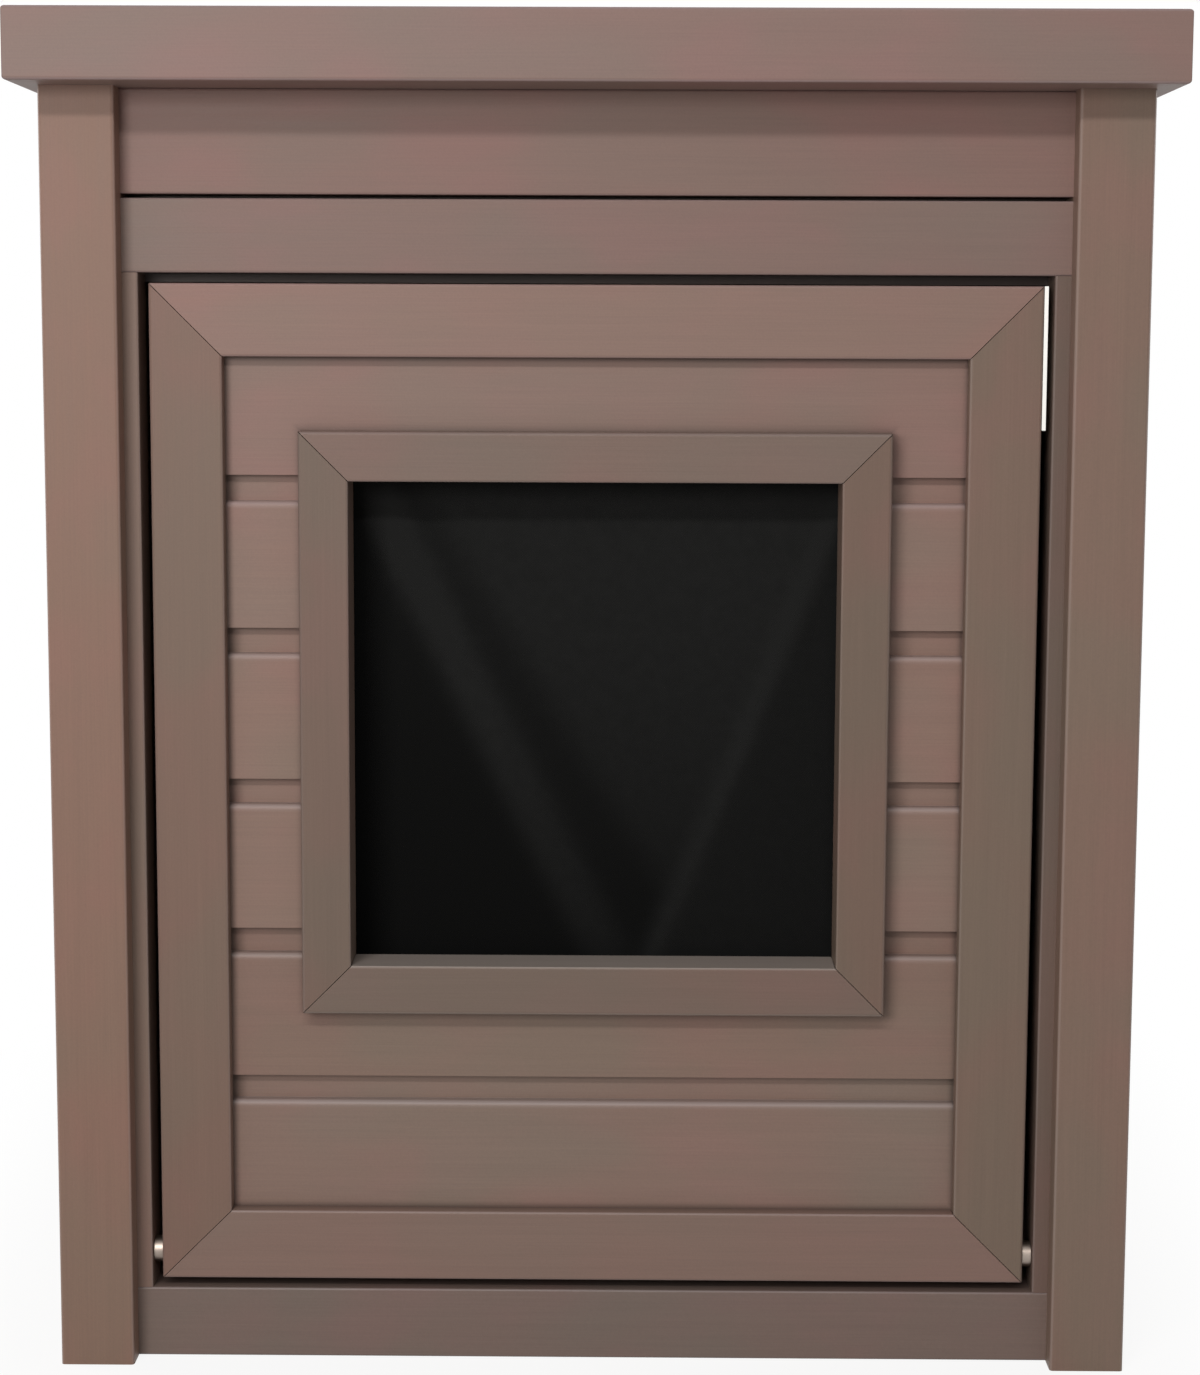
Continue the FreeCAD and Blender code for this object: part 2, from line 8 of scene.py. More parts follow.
from __future__ import annotations

import logging
import math
from dataclasses import dataclass, field
from enum import Enum

import bmesh
import bpy
from mathutils import Matrix, Vector

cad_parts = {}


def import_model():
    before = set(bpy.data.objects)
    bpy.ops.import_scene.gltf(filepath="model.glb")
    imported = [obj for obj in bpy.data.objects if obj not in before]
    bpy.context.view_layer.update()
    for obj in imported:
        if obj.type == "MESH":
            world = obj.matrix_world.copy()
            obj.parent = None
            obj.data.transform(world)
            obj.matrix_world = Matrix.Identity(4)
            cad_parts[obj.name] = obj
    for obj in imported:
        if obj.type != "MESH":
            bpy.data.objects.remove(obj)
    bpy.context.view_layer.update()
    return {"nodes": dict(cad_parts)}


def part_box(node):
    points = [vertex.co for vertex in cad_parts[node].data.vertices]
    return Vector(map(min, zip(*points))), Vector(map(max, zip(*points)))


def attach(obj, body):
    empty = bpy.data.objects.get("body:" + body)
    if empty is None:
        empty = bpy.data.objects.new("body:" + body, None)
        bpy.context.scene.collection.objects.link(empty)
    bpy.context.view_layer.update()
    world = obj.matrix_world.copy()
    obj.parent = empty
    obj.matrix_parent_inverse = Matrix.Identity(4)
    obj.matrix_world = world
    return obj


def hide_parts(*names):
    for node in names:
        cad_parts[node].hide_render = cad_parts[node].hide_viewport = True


LOG = logging.getLogger("litter_box_cabinet")
MM = 0.001

Colour = tuple[float, float, float]
Socket = bpy.types.NodeSocket
ShaderNode = bpy.types.Node
ShaderTree = bpy.types.NodeTree
Piece = bpy.types.Object

# A plain value, or the output of another node.
Value = float | tuple[float, ...] | Socket


class Grain(Enum):
    """The way that a board's grain runs."""

    ACROSS = (1.0, 0.0, 0.0)
    DEEP = (0.0, 1.0, 0.0)
    UP = (0.0, 0.0, 1.0)


# ---- shader building ---------------------------------------------------------------------------------

# Places of the colour sockets on a Mix node, whose names it shares with its other kinds.
COLOUR_A, COLOUR_B, COLOUR_OUT = 6, 7, 2


class NodeTree:
    """A node tree with short ways to add and link nodes."""

    def __init__(self, tree: ShaderTree) -> None:
        """Wrap a tree.

        Args:
            tree: the shader tree or group that nodes are added to.
        """
        self.tree = tree

    def add(self, kind: str, **settings: object) -> ShaderNode:
        """Add a node.

        Args:
            kind: the node's type, without the ShaderNode prefix.
            settings: properties to set on it.

        Returns:
            The new node.
        """
        node = self.tree.nodes.new("ShaderNode" + kind)
        for name, value in settings.items():
            setattr(node, name, value)
        return node

    def link(self, source: Socket, target: Socket) -> None:
        """Link an output to an input."""
        self.tree.links.new(source, target)

    def feed(self, value: Value, target: Socket) -> None:
        """Put a value or another node's output into an input.

        Args:
            value: the value or socket.
            target: the input.
        """
        if isinstance(value, Socket):
            self.link(value, target)
        else:
            target.default_value = value

    def math(self, operation: str, a: Value, b: Value = 0.0, clamp: bool = False) -> Socket:
        """Add a Math node.

        Args:
            operation: the node's operation.
            a: first value or socket.
            b: second value or socket.
            clamp: keep the result between 0 and 1.

        Returns:
            The result's socket.
        """
        node = self.add("Math", operation=operation, use_clamp=clamp)
        self.feed(a, node.inputs[0])
        self.feed(b, node.inputs[1])
        return node.outputs[0]

    def vector(self, operation: str, a: Value, b: Value | None = None) -> ShaderNode:
        """Add a Vector Math node.

        Args:
            operation: the node's operation.
            a: first vector or socket.
            b: second vector or socket, where the operation has one.

        Returns:
            The node, whose Vector or Value output is used.
        """
        node = self.add("VectorMath", operation=operation)
        self.feed(a, node.inputs[0])
        if b is not None:
            self.feed(b, node.inputs[1])
        return node

    def noise(self, place: Socket, scale: float, detail: float, rough: float) -> Socket:
        """Add a Noise Texture.

        Args:
            place: the point that it is read at.
            scale: its frequency.
            detail: octaves.
            rough: share of each finer octave.

        Returns:
            The noise value's socket.
        """
        node = self.add("TexNoise", noise_dimensions="3D")
        self.link(place, node.inputs["Vector"])
        node.inputs["Scale"].default_value = scale
        node.inputs["Detail"].default_value = detail
        node.inputs["Roughness"].default_value = rough
        return node.outputs["Fac"]

    def spread(self, value: Socket, low: float, high: float) -> Socket:
        """Spread a part of a value's range over 0 to 1, with soft ends.

        Args:
            value: the value's socket.
            low: what becomes 0.
            high: what becomes 1.

        Returns:
            The result's socket.
        """
        node = self.add("MapRange", interpolation_type="SMOOTHSTEP")
        self.link(value, node.inputs["Value"])
        node.inputs["From Min"].default_value = low
        node.inputs["From Max"].default_value = high
        return node.outputs["Result"]

    def mix(self, amount: Value, a: Value, b: Value) -> Socket:
        """Mix two colours.

        Args:
            amount: share of the second one.
            a: first colour or socket.
            b: second colour or socket.

        Returns:
            The colour's socket.
        """
        node = self.add("Mix", data_type="RGBA", clamp_factor=True)
        self.feed(amount, node.inputs["Factor"])
        for value, number in ((a, COLOUR_A), (b, COLOUR_B)):
            plain = not isinstance(value, Socket)
            self.feed((*value, 1.0) if plain else value, node.inputs[number])
        return node.outputs[COLOUR_OUT]

    def split(self, vector: Socket) -> ShaderNode:
        """Add a Separate XYZ node.

        Args:
            vector: the vector's socket.

        Returns:
            The node, whose outputs X, Y and Z are used.
        """
        node = self.add("SeparateXYZ")
        self.link(vector, node.inputs[0])
        return node

    def scaled(self, vector: Socket, scale: Value) -> Socket:
        """Multiply a vector or colour.

        Args:
            vector: the vector's or colour's socket.
            scale: the value or socket that it is multiplied by.

        Returns:
            The result's socket.
        """
        node = self.vector("SCALE", vector)
        self.feed(scale, node.inputs["Scale"])
        return node.outputs[0]


class Group:
    """A shader node group that several materials use, with named inputs and outputs."""

    def __init__(self, name: str, inputs: dict[str, str], outputs: dict[str, str]) -> None:
        """Make an empty group.

        Args:
            name: the group's name.
            inputs: socket names with their kinds.
            outputs: socket names with their kinds.
        """
        self.group = bpy.data.node_groups.new(name, "ShaderNodeTree")
        for in_out, sockets in (("INPUT", inputs), ("OUTPUT", outputs)):
            for socket, kind in sockets.items():
                self.group.interface.new_socket(socket, in_out=in_out, socket_type="NodeSocket" + kind)
        self.nodes = NodeTree(self.group)
        self.source = self.group.nodes.new("NodeGroupInput")
        self.sink = self.group.nodes.new("NodeGroupOutput")

    def value(self, name: str) -> Socket:
        """One of the group's inputs, seen from inside."""
        return self.source.outputs[name]

    def give(self, name: str, socket: Socket) -> None:
        """Link a socket to one of the group's outputs."""
        self.nodes.link(socket, self.sink.inputs[name])


@dataclass(frozen=True)
class CompositePattern:
    """How often the marks in wood composite repeat, per metre, across and along a board.

    A pair that ends in _range gives where a noise or a slope starts to count and where it counts in full.
    """

    fine: tuple[float, float] = (1500.0, 22.0)
    broad: tuple[float, float] = (260.0, 5.0)
    cloud: tuple[float, float] = (38.0, 20.0)
    drift: tuple[float, float] = (19.0, 11.0)
    fleck: float = 1100.0
    fine_share: float = 0.6
    bump_share: float = 0.7
    warm_range: tuple[float, float] = (0.44, 0.66)
    olive_range: tuple[float, float] = (0.44, 0.64)
    round_range: tuple[float, float] = (0.01, 0.16)
    upward_range: tuple[float, float] = (0.6, 0.95)
    rough_by_streak: float = 0.18
    smooth_by_wear_and_highlight: float = 0.3


class SharedEffects:
    """The node groups of this object's finishes, each built once."""

    def __init__(self) -> None:
        """Build all the groups."""
        self.composite = self._composite()
        self.corner_shade = self._corner_shade()
        self.depth_shade = self._depth_shade()
        self.edge_highlight_band = self._edge_highlight_band()
        self.weave = self._weave()
        self.brushing = self._brushing()

    @staticmethod
    def _composite() -> ShaderTree:
        """Extruded wood composite: fine streaks along the board, flecks, soft clouds, paler rounded edges
        that are partly wear and partly a painted highlight, and painted light on faces that look up.

        Returns:
            The group, which gives a colour, a roughness and a height.
        """
        group = Group(
            "wood_composite",
            {
                "Place": "Vector",
                "Normal": "Vector",
                "Shift": "Vector",
                "Run": "Vector",
                "Colour": "Color",
                "Warm": "Color",
                "Olive": "Color",
                "Wear_and_highlight": "Color",
                "Streaks": "Float",
                "Clouds": "Float",
                "Flecks": "Float",
                "Edges": "Float",
                "Lit_from_above": "Float",
                "Roughness": "Float",
            },
            {"Colour": "Color", "Roughness": "Float", "Height": "Float"},
        )
        n = group.nodes
        look = CompositePattern()
        run = group.value("Run")
        place = n.vector("ADD", group.value("Place"), group.value("Shift")).outputs[0]
        along = n.vector("DOT_PRODUCT", place, run).outputs["Value"]

        def stretched(across: float, lengthwise: float) -> Socket:
            """The place with its own frequency across and along the grain."""
            back = n.scaled(run, n.math("MULTIPLY", along, across - lengthwise))
            return n.vector("SUBTRACT", n.scaled(place, across), back).outputs[0]

        fine = n.noise(stretched(*look.fine), scale=1.0, detail=2.0, rough=0.6)
        broad = n.noise(stretched(*look.broad), scale=1.0, detail=2.0, rough=0.5)
        cloud = n.noise(stretched(*look.cloud), scale=1.0, detail=2.0, rough=0.55)
        drift = n.noise(stretched(*look.drift), scale=1.0, detail=1.0, rough=0.5)
        fleck = n.noise(place, look.fleck, detail=1.0, rough=0.5)

        fine_part = n.math("MULTIPLY", fine, look.fine_share)
        streak = n.math("ADD", fine_part, n.math("MULTIPLY", broad, 1.0 - look.fine_share))
        off_middle = n.math("SUBTRACT", streak, 0.5)
        streak_shift = n.math("MULTIPLY", off_middle, group.value("Streaks"))
        fleck_shift = n.math("MULTIPLY", n.math("SUBTRACT", fleck, 0.5), group.value("Flecks"))
        gain = n.math("ADD", n.math("ADD", streak_shift, fleck_shift), 1.0)

        warm_share = n.math("MULTIPLY", n.spread(cloud, *look.warm_range), group.value("Clouds"))
        olive_share = n.math("MULTIPLY", n.spread(drift, *look.olive_range), group.value("Clouds"))
        colour = n.mix(warm_share, group.value("Colour"), group.value("Warm"))
        colour = n.scaled(n.mix(olive_share, colour, group.value("Olive")), gain)

        # Rounded edges are paler, partly as wear and partly as a painted highlight; faces that look up are
        # paler as painted light from above.
        flat = n.split(n.vector("ABSOLUTE", group.value("Normal")).outputs[0])
        main = n.math("MAXIMUM", n.math("MAXIMUM", flat.outputs[0], flat.outputs[1]), flat.outputs[2])
        round_share = n.spread(n.math("SUBTRACT", 1.0, main), *look.round_range)
        upward = n.spread(n.split(group.value("Normal")).outputs["Z"], *look.upward_range)
        lit_from_above = n.math("MULTIPLY", upward, group.value("Lit_from_above"))
        wear_and_highlight = n.math("ADD", n.math("MULTIPLY", round_share, group.value("Edges")), lit_from_above, clamp=True)
        group.give("Colour", n.mix(wear_and_highlight, colour, group.value("Wear_and_highlight")))

        smoother = n.math("MULTIPLY", wear_and_highlight, look.smooth_by_wear_and_highlight)
        rough = n.math("SUBTRACT", group.value("Roughness"), smoother)
        uneven = n.math("MULTIPLY", off_middle, look.rough_by_streak)
        group.give("Roughness", n.math("ADD", rough, uneven, clamp=True))
        fine_height = n.math("MULTIPLY", fine, look.bump_share)
        group.give("Height", n.math("ADD", fine_height, n.math("MULTIPLY", fleck, 1.0 - look.bump_share)))
        return group.group

    @staticmethod
    def _depth_shade() -> ShaderTree:
        """How far behind the front's face a point lies, for painting shade into the gaps.

        Returns:
            The group, which gives 0 at the face and 1 from the reach on.
        """
        group = Group(
            "depth_shade", {"Place": "Vector", "Face": "Float", "Reach": "Float"}, {"Deep": "Float"}
        )
        n = group.nodes
        behind = n.math("SUBTRACT", n.split(group.value("Place")).outputs["Y"], group.value("Face"))
        group.give("Deep", n.math("DIVIDE", behind, group.value("Reach"), clamp=True))
        return group.group

    @staticmethod
    def _edge_highlight_band() -> ShaderTree:
        """How near a point of a board's face is to its upper edge, where a highlight is painted.

        Returns:
            The group, which gives 1 on the edge, 0 from the reach on and 0 in the groove above.
        """
        group = Group(
            "edge_highlight_band", {"Place": "Vector", "Level": "Float", "Reach": "Float"}, {"Near": "Float"}
        )
        n = group.nodes
        below = n.math("SUBTRACT", group.value("Level"), n.split(group.value("Place")).outputs["Z"])
        edge_play = 0.3 * MM
        on_face = n.math("GREATER_THAN", below, -edge_play)
        share = n.math("SUBTRACT", 1.0, n.math("DIVIDE", below, group.value("Reach")), clamp=True)
        group.give("Near", n.math("MULTIPLY", share, on_face))
        return group.group

    @staticmethod
    def _corner_shade() -> ShaderTree:
        """How near a point of the front is to an upright rectangle's outline, for painting shade into the
        corner there.

        Returns:
            The group, which gives 1 on the outline and 0 from the reach on.
        """
        group = Group(
            "corner_shade",
            {"Place": "Vector", "Middle": "Vector", "Half": "Vector", "Reach": "Float"},
            {"Near": "Float"},
        )
        n = group.nodes
        offset = n.vector("SUBTRACT", group.value("Place"), group.value("Middle")).outputs[0]
        from_middle = n.vector("ABSOLUTE", offset).outputs[0]
        parts = n.split(n.vector("SUBTRACT", from_middle, group.value("Half")).outputs[0])
        away = n.math("ABSOLUTE", n.math("MAXIMUM", parts.outputs["X"], parts.outputs["Z"]))
        share = n.math("SUBTRACT", 1.0, n.math("DIVIDE", away, group.value("Reach")), clamp=True)
        group.give("Near", n.math("MULTIPLY", share, share))
        return group.group

    @staticmethod
    def _weave() -> ShaderTree:
        """Plain weave seen along Y, with lint, and lighter where its folds stand out, as painted light on
        the crests.

        Returns:
            The group, which gives a colour and a height.
        """
        group = Group(
            "plain_weave",
            {"Place": "Vector", "Threads": "Float", "Crest": "Float", "Colour": "Color", "Fold_lit": "Color"},
            {"Colour": "Color", "Height": "Float"},
        )
        n = group.nodes
        lint_scale, lint_depth, thread_depth = 160.0, 0.5, 0.2
        parts = n.split(group.value("Place"))
        turn = n.math("MULTIPLY", group.value("Threads"), 2.0 * math.pi)
        warp = n.math("SINE", n.math("MULTIPLY", parts.outputs["X"], turn))
        weft = n.math("SINE", n.math("MULTIPLY", parts.outputs["Z"], turn))
        over = n.math("MULTIPLY", warp, weft)
        height = n.math("ADD", n.math("MULTIPLY", over, 0.5), 0.5)
        group.give("Height", height)
        lint = n.math("SUBTRACT", n.noise(group.value("Place"), lint_scale, detail=3.0, rough=0.6), 0.5)
        uneven = n.math("ADD", n.math("MULTIPLY", lint, lint_depth), 1.0)
        thread = n.math("ADD", n.math("MULTIPLY", height, thread_depth), 1.0 - thread_depth / 2)
        share = n.math("MULTIPLY", n.math("MULTIPLY", group.value("Crest"), uneven), thread)
        group.give("Colour", n.mix(share, group.value("Colour"), group.value("Fold_lit")))
        return group.group

    @staticmethod
    def _brushing() -> ShaderTree:
        """Drawn or ground metal: fine lines along one way, and faint patches of tarnish.

        Returns:
            The group, which gives a colour, a roughness and a height.
        """
        group = Group(
            "metal_lines",
            {
                "Place": "Vector",
                "Lines": "Vector",
                "Colour": "Color",
                "Tarnish": "Color",
                "Roughness": "Float",
            },
            {"Colour": "Color", "Roughness": "Float", "Height": "Float"},
        )
        n = group.nodes
        patch_scale, tarnish_most, rough_spread = 140.0, 0.5, 0.14
        lined = n.vector("MULTIPLY", group.value("Place"), group.value("Lines")).outputs[0]
        lines = n.noise(lined, scale=1.0, detail=3.0, rough=0.6)
        patches = n.noise(group.value("Place"), patch_scale, detail=3.0, rough=0.6)
        share = n.math("MULTIPLY", n.spread(patches, low=0.5, high=0.75), tarnish_most)
        group.give("Colour", n.mix(share, group.value("Colour"), group.value("Tarnish")))
        rough = n.math("MULTIPLY", n.math("ADD", lines, patches), rough_spread)
        group.give("Roughness", n.math("ADD", group.value("Roughness"), rough, clamp=True))
        group.give("Height", lines)
        return group.group


# ---- finishes ----------------------------------------------------------------------------------------


def emptied(owner: bpy.types.Material | bpy.types.World) -> NodeTree:
    """Switch on the nodes of a material or world and take out those that it comes with.

    Args:
        owner: the material or world.

    Returns:
        Its empty tree.
    """
    owner.use_nodes = True
    owner.node_tree.nodes.clear()
    return NodeTree(owner.node_tree)


def new_material(name: str) -> tuple[bpy.types.Material, NodeTree, ShaderNode, ShaderNode]:
    """Start a material.

    Args:
        name: its name.

    Returns:
        The material, its tree, its Principled BSDF and its Texture Coordinate node.
    """
    material = bpy.data.materials.new(name)
    tree = emptied(material)
    shader = tree.add("BsdfPrincipled")
    output = tree.add("OutputMaterial")
    tree.link(shader.outputs[0], output.inputs["Surface"])
    return material, tree, shader, tree.add("TexCoord")


def place_group(tree: NodeTree, group: ShaderTree, values: dict[str, Value]) -> ShaderNode:
    """Put a shared group into a material.

    Args:
        tree: the material's tree.
        group: the group.
        values: input names with values or sockets; a colour of three numbers gets its alpha.

    Returns:
        The group's node.
    """
    node = tree.add("Group")
    node.node_tree = group
    for name, value in values.items():
        socket = node.inputs[name]
        if socket.type == "RGBA" and not isinstance(value, Socket):
            value = (*value, 1.0)
        tree.feed(value, socket)
    return node


def add_bump(tree: NodeTree, shader: ShaderNode, height: Socket, depth: float) -> None:
    """Turn a height into the shader's normal.

    Args:
        tree: the material's tree.
        shader: its Principled BSDF.
        height: the height's socket.
        depth: how far the height reaches, in metres.
    """
    bump = tree.add("Bump")
    bump.inputs["Distance"].default_value = depth
    tree.link(height, bump.inputs["Height"])
    tree.link(bump.outputs["Normal"], shader.inputs["Normal"])


def scaled(colour: Colour, tone: float, tint: Colour) -> Colour:
    """A colour made lighter or darker and tinted."""
    return tuple(channel * tone * share for channel, share in zip(colour, tint))


# How a board's own shift of the pattern is laid out over X, Y and Z.
SHIFT_WAY = (1.0, 0.37, 1.71)


@dataclass(frozen=True)
class PaintedCornerShade:
    """Painted shade in the corner along an upright rectangle's outline on the front."""

    left: float
    right: float
    bottom: float
    top: float
    reach: float
    strength: float

    def unshaded_share(self, effects: SharedEffects, tree: NodeTree, place: ShaderNode) -> Socket:
        """How much of the colour is left, from 1 down to what the painted shade leaves.

        Args:
            effects: the shared groups.
            tree: the material's tree.
            place: its Texture Coordinate node.

        Returns:
            The share's socket.
        """
        group = place_group(
            tree,
            effects.corner_shade,
            {
                "Place": place.outputs["Object"],
                "Middle": ((self.left + self.right) / 2, 0.0, (self.bottom + self.top) / 2),
                "Half": ((self.right - self.left) / 2, 0.0, (self.top - self.bottom) / 2),
                "Reach": self.reach,
            },
        )
        return tree.math("SUBTRACT", 1.0, tree.math("MULTIPLY", group.outputs["Near"], self.strength))


@dataclass(frozen=True)
class PaintedDepthShade:
    """Painted shade on a board behind the face of the front, darker the deeper it lies in the gap."""

    strength: float
    face: float = -261.5 * MM
    reach: float = 5.0 * MM

    def unshaded_share(self, effects: SharedEffects, tree: NodeTree, place: ShaderNode) -> Socket:
        """How much of the colour is left, from 1 down to what the painted shade leaves.

        Args:
            effects: the shared groups.
            tree: the material's tree.
            place: its Texture Coordinate node.

        Returns:
            The share's socket.
        """
        values = {"Place": place.outputs["Object"], "Face": self.face, "Reach": self.reach}
        group = place_group(tree, effects.depth_shade, values)
        return tree.math("SUBTRACT", 1.0, tree.math("MULTIPLY", group.outputs["Deep"], self.strength))


@dataclass(frozen=True)
class PaintedEdgeHighlight:
    """A painted highlight: a pale band along the upper edge of a board's face, where the rounded edge
    catches the light.
    """

    level: float
    reach: float = 3.2 * MM
    strength: float = 0.34

    def share(self, effects: SharedEffects, tree: NodeTree, place: ShaderNode) -> Socket:
        """How much of the pale highlight colour shows.

        Args:
            effects: the shared groups.
            tree: the material's tree.
            place: its Texture Coordinate node.

        Returns:
            The share's socket, from 0 to the band's strength.
        """
        values = {"Place": place.outputs["Object"], "Level": self.level, "Reach": self.reach}
        group = place_group(tree, effects.edge_highlight_band, values)
        return tree.math("MULTIPLY", group.outputs["Near"], self.strength)


@dataclass(frozen=True)
class CompositeFinish:
    """Matt wood composite, dyed through, with the fine straight grain of its making."""

    name: str
    grain: Grain
    tone: float = 1.0
    tint: Colour = (1.0, 1.0, 1.0)
    shift: float = 0.0
    # Painted shade that darkens the colour in corners and gaps.
    dust_and_shade: tuple[PaintedCornerShade | PaintedDepthShade, ...] = ()
    # A painted highlight along the board's upper edge.
    painted_highlight: PaintedEdgeHighlight | None = None
    colour: Colour = (0.262, 0.172, 0.142)
    warm: Colour = (0.292, 0.170, 0.148)
    olive: Colour = (0.228, 0.180, 0.146)
    # Paler colour of worn edges, also used for painted highlights and painted light from above.
    wear_and_highlight: Colour = (0.46, 0.38, 0.38)
    streaks: float = 0.26
    clouds: float = 0.48
    flecks: float = 0.10
    edges: float = 0.30
    # Share of painted light from above on faces that look up.
    lit_from_above: float = 0.0
    roughness: float = 0.50
    specular: float = 0.36
    depth: float = 0.06 * MM

    def material(self, effects: SharedEffects) -> bpy.types.Material:
        """Build the finish's material.

        Args:
            effects: the shared groups.

        Returns:
            The new material.
        """
        material, tree, shader, place = new_material(self.name)
        group = place_group(
            tree,
            effects.composite,
            {
                "Place": place.outputs["Object"],
                "Normal": place.outputs["Normal"],
                "Shift": tuple(self.shift * way for way in SHIFT_WAY),
                "Run": self.grain.value,
                "Colour": scaled(self.colour, self.tone, self.tint),
                "Warm": scaled(self.warm, self.tone, self.tint),
                "Olive": scaled(self.olive, self.tone, self.tint),
                "Wear_and_highlight": scaled(self.wear_and_highlight, self.tone, self.tint),
                "Streaks": self.streaks,
                "Clouds": self.clouds,
                "Flecks": self.flecks,
                "Edges": self.edges,
                "Lit_from_above": self.lit_from_above,
                "Roughness": self.roughness,
            },
        )
        colour = group.outputs["Colour"]
        # Painted highlight along the upper edge.
        if self.painted_highlight:
            wear_and_highlight = scaled(self.wear_and_highlight, self.tone, self.tint)
            colour = tree.mix(self.painted_highlight.share(effects, tree, place), colour, wear_and_highlight)
        # Painted shade darkens the colour in corners and gaps.
        for shade_mark in self.dust_and_shade:
            colour = tree.scaled(colour, shade_mark.unshaded_share(effects, tree, place))
        tree.link(colour, shader.inputs["Base Color"])
        tree.link(group.outputs["Roughness"], shader.inputs["Roughness"])
        shader.inputs["Specular IOR Level"].default_value = self.specular
        add_bump(tree, shader, group.outputs["Height"], self.depth)
        return material


@dataclass(frozen=True)
class MetalFinish:
    """Plated or ground steel."""

    name: str
    colour: Colour
    tarnish: Colour
    roughness: float
    lines: tuple[float, float, float] = (60.0, 900.0, 900.0)
    depth: float = 0.01 * MM

    def material(self, effects: SharedEffects) -> bpy.types.Material:
        """Build the finish's material.

        Args:
            effects: the shared groups.

        Returns:
            The new material.
        """
        material, tree, shader, place = new_material(self.name)
        group = place_group(
            tree,
            effects.brushing,
            {
                "Place": place.outputs["Object"],
                "Lines": self.lines,
                "Colour": self.colour,
                "Tarnish": self.tarnish,
                "Roughness": self.roughness,
            },
        )
        tree.link(group.outputs["Colour"], shader.inputs["Base Color"])
        tree.link(group.outputs["Roughness"], shader.inputs["Roughness"])
        shader.inputs["Metallic"].default_value = 1.0
        add_bump(tree, shader, group.outputs["Height"], self.depth)
        return material


@dataclass(frozen=True)
class MouldedFinish:
    """Moulded plastic with a fine spark-eroded texture."""

    name: str
    colour: Colour
    dusty: Colour
    roughness: float = 0.5
    rough_spread: float = 0.2
    texture_scale: float = 1600.0
    dust_scale: float = 120.0
    dust_most: float = 0.6
    depth: float = 0.03 * MM

    def material(self, effects: SharedEffects) -> bpy.types.Material:
        """Build the finish's material.

        Args:
            effects: the shared groups.

        Returns:
            The new material.
        """
        material, tree, shader, place = new_material(self.name)
        texture = tree.noise(place.outputs["Object"], self.texture_scale, detail=2.0, rough=0.5)
        dust_and_shade = tree.noise(place.outputs["Object"], self.dust_scale, detail=3.0, rough=0.6)
        dust_share = tree.math("MULTIPLY", tree.spread(dust_and_shade, low=0.5, high=0.8), self.dust_most)
        tree.link(tree.mix(dust_share, self.colour, self.dusty), shader.inputs["Base Color"])
        uneven = tree.math("MULTIPLY", texture, self.rough_spread)
        rough = tree.math("ADD", uneven, self.roughness, clamp=True)
        tree.link(rough, shader.inputs["Roughness"])
        add_bump(tree, shader, texture, self.depth)
        return material


@dataclass(frozen=True)
class ClothFinish:
    """Dull black cotton in a plain weave, with painted light where its folds stand out."""

    name: str
    colour: Colour = (0.0056, 0.0058, 0.0058)
    # Paler colour painted on the fold crests as light.
    fold_lit: Colour = (0.0180, 0.0186, 0.0186)
    threads: float = 900.0
    roughness: float = 0.95
    specular: float = 0.03
    sheen: float = 0.01
    sheen_roughness: float = 0.5
    depth: float = 0.10 * MM
    crest: str = "crest"

    def material(self, effects: SharedEffects) -> bpy.types.Material:
        """Build the finish's material.

        Args:
            effects: the shared groups.

        Returns:
            The new material.
        """
        material, tree, shader, place = new_material(self.name)
        crest = tree.add("Attribute", attribute_type="GEOMETRY", attribute_name=self.crest)
        group = place_group(
            tree,
            effects.weave,
            {
                "Place": place.outputs["Object"],
                "Threads": self.threads,
                "Crest": crest.outputs["Fac"],
                "Colour": self.colour,
                "Fold_lit": self.fold_lit,
            },
        )
        tree.link(group.outputs["Colour"], shader.inputs["Base Color"])
        shader.inputs["Roughness"].default_value = self.roughness
        shader.inputs["Specular IOR Level"].default_value = self.specular
        shader.inputs["Sheen Weight"].default_value = self.sheen
        shader.inputs["Sheen Roughness"].default_value = self.sheen_roughness
        add_bump(tree, shader, group.outputs["Height"], self.depth)
        return material


Finish = CompositeFinish | MetalFinish | MouldedFinish | ClothFinish


# ---- sub-assemblies ----------------------------------------------------------------------------------


@dataclass
class Workshop:
    """What every sub-assembly needs to dress its nodes."""

    nodes: dict[str, Piece]
    effects: SharedEffects
    materials: dict[str, bpy.types.Material] = field(default_factory=dict)

    def made(self, finish: Finish) -> bpy.types.Material:
        """The material of a finish, built the first time that it is asked for.

        Args:
            finish: the finish.

        Returns:
            Its material.
        """
        if finish.name not in self.materials:
            self.materials[finish.name] = finish.material(self.effects)
        return self.materials[finish.name]

    def dress(self, names: tuple[str, ...], finish: Finish) -> None:
        """Give a finish to the construction's nodes.

        Args:
            names: the nodes' names.
            finish: the finish that they get.
        """
        material = self.made(finish)
        for name in names:
            node = self.nodes[name]
            if not node.material_slots:
                node.data.materials.append(material)
            for slot in node.material_slots:
                slot.material = material
            LOG.info("%s: %s", name, finish.name)


def numbered(stem: str, nodes: dict[str, Piece]) -> tuple[str, ...]:
    """Names of the nodes that a stem starts."""
    return tuple(sorted(name for name in nodes if name.startswith(stem)))


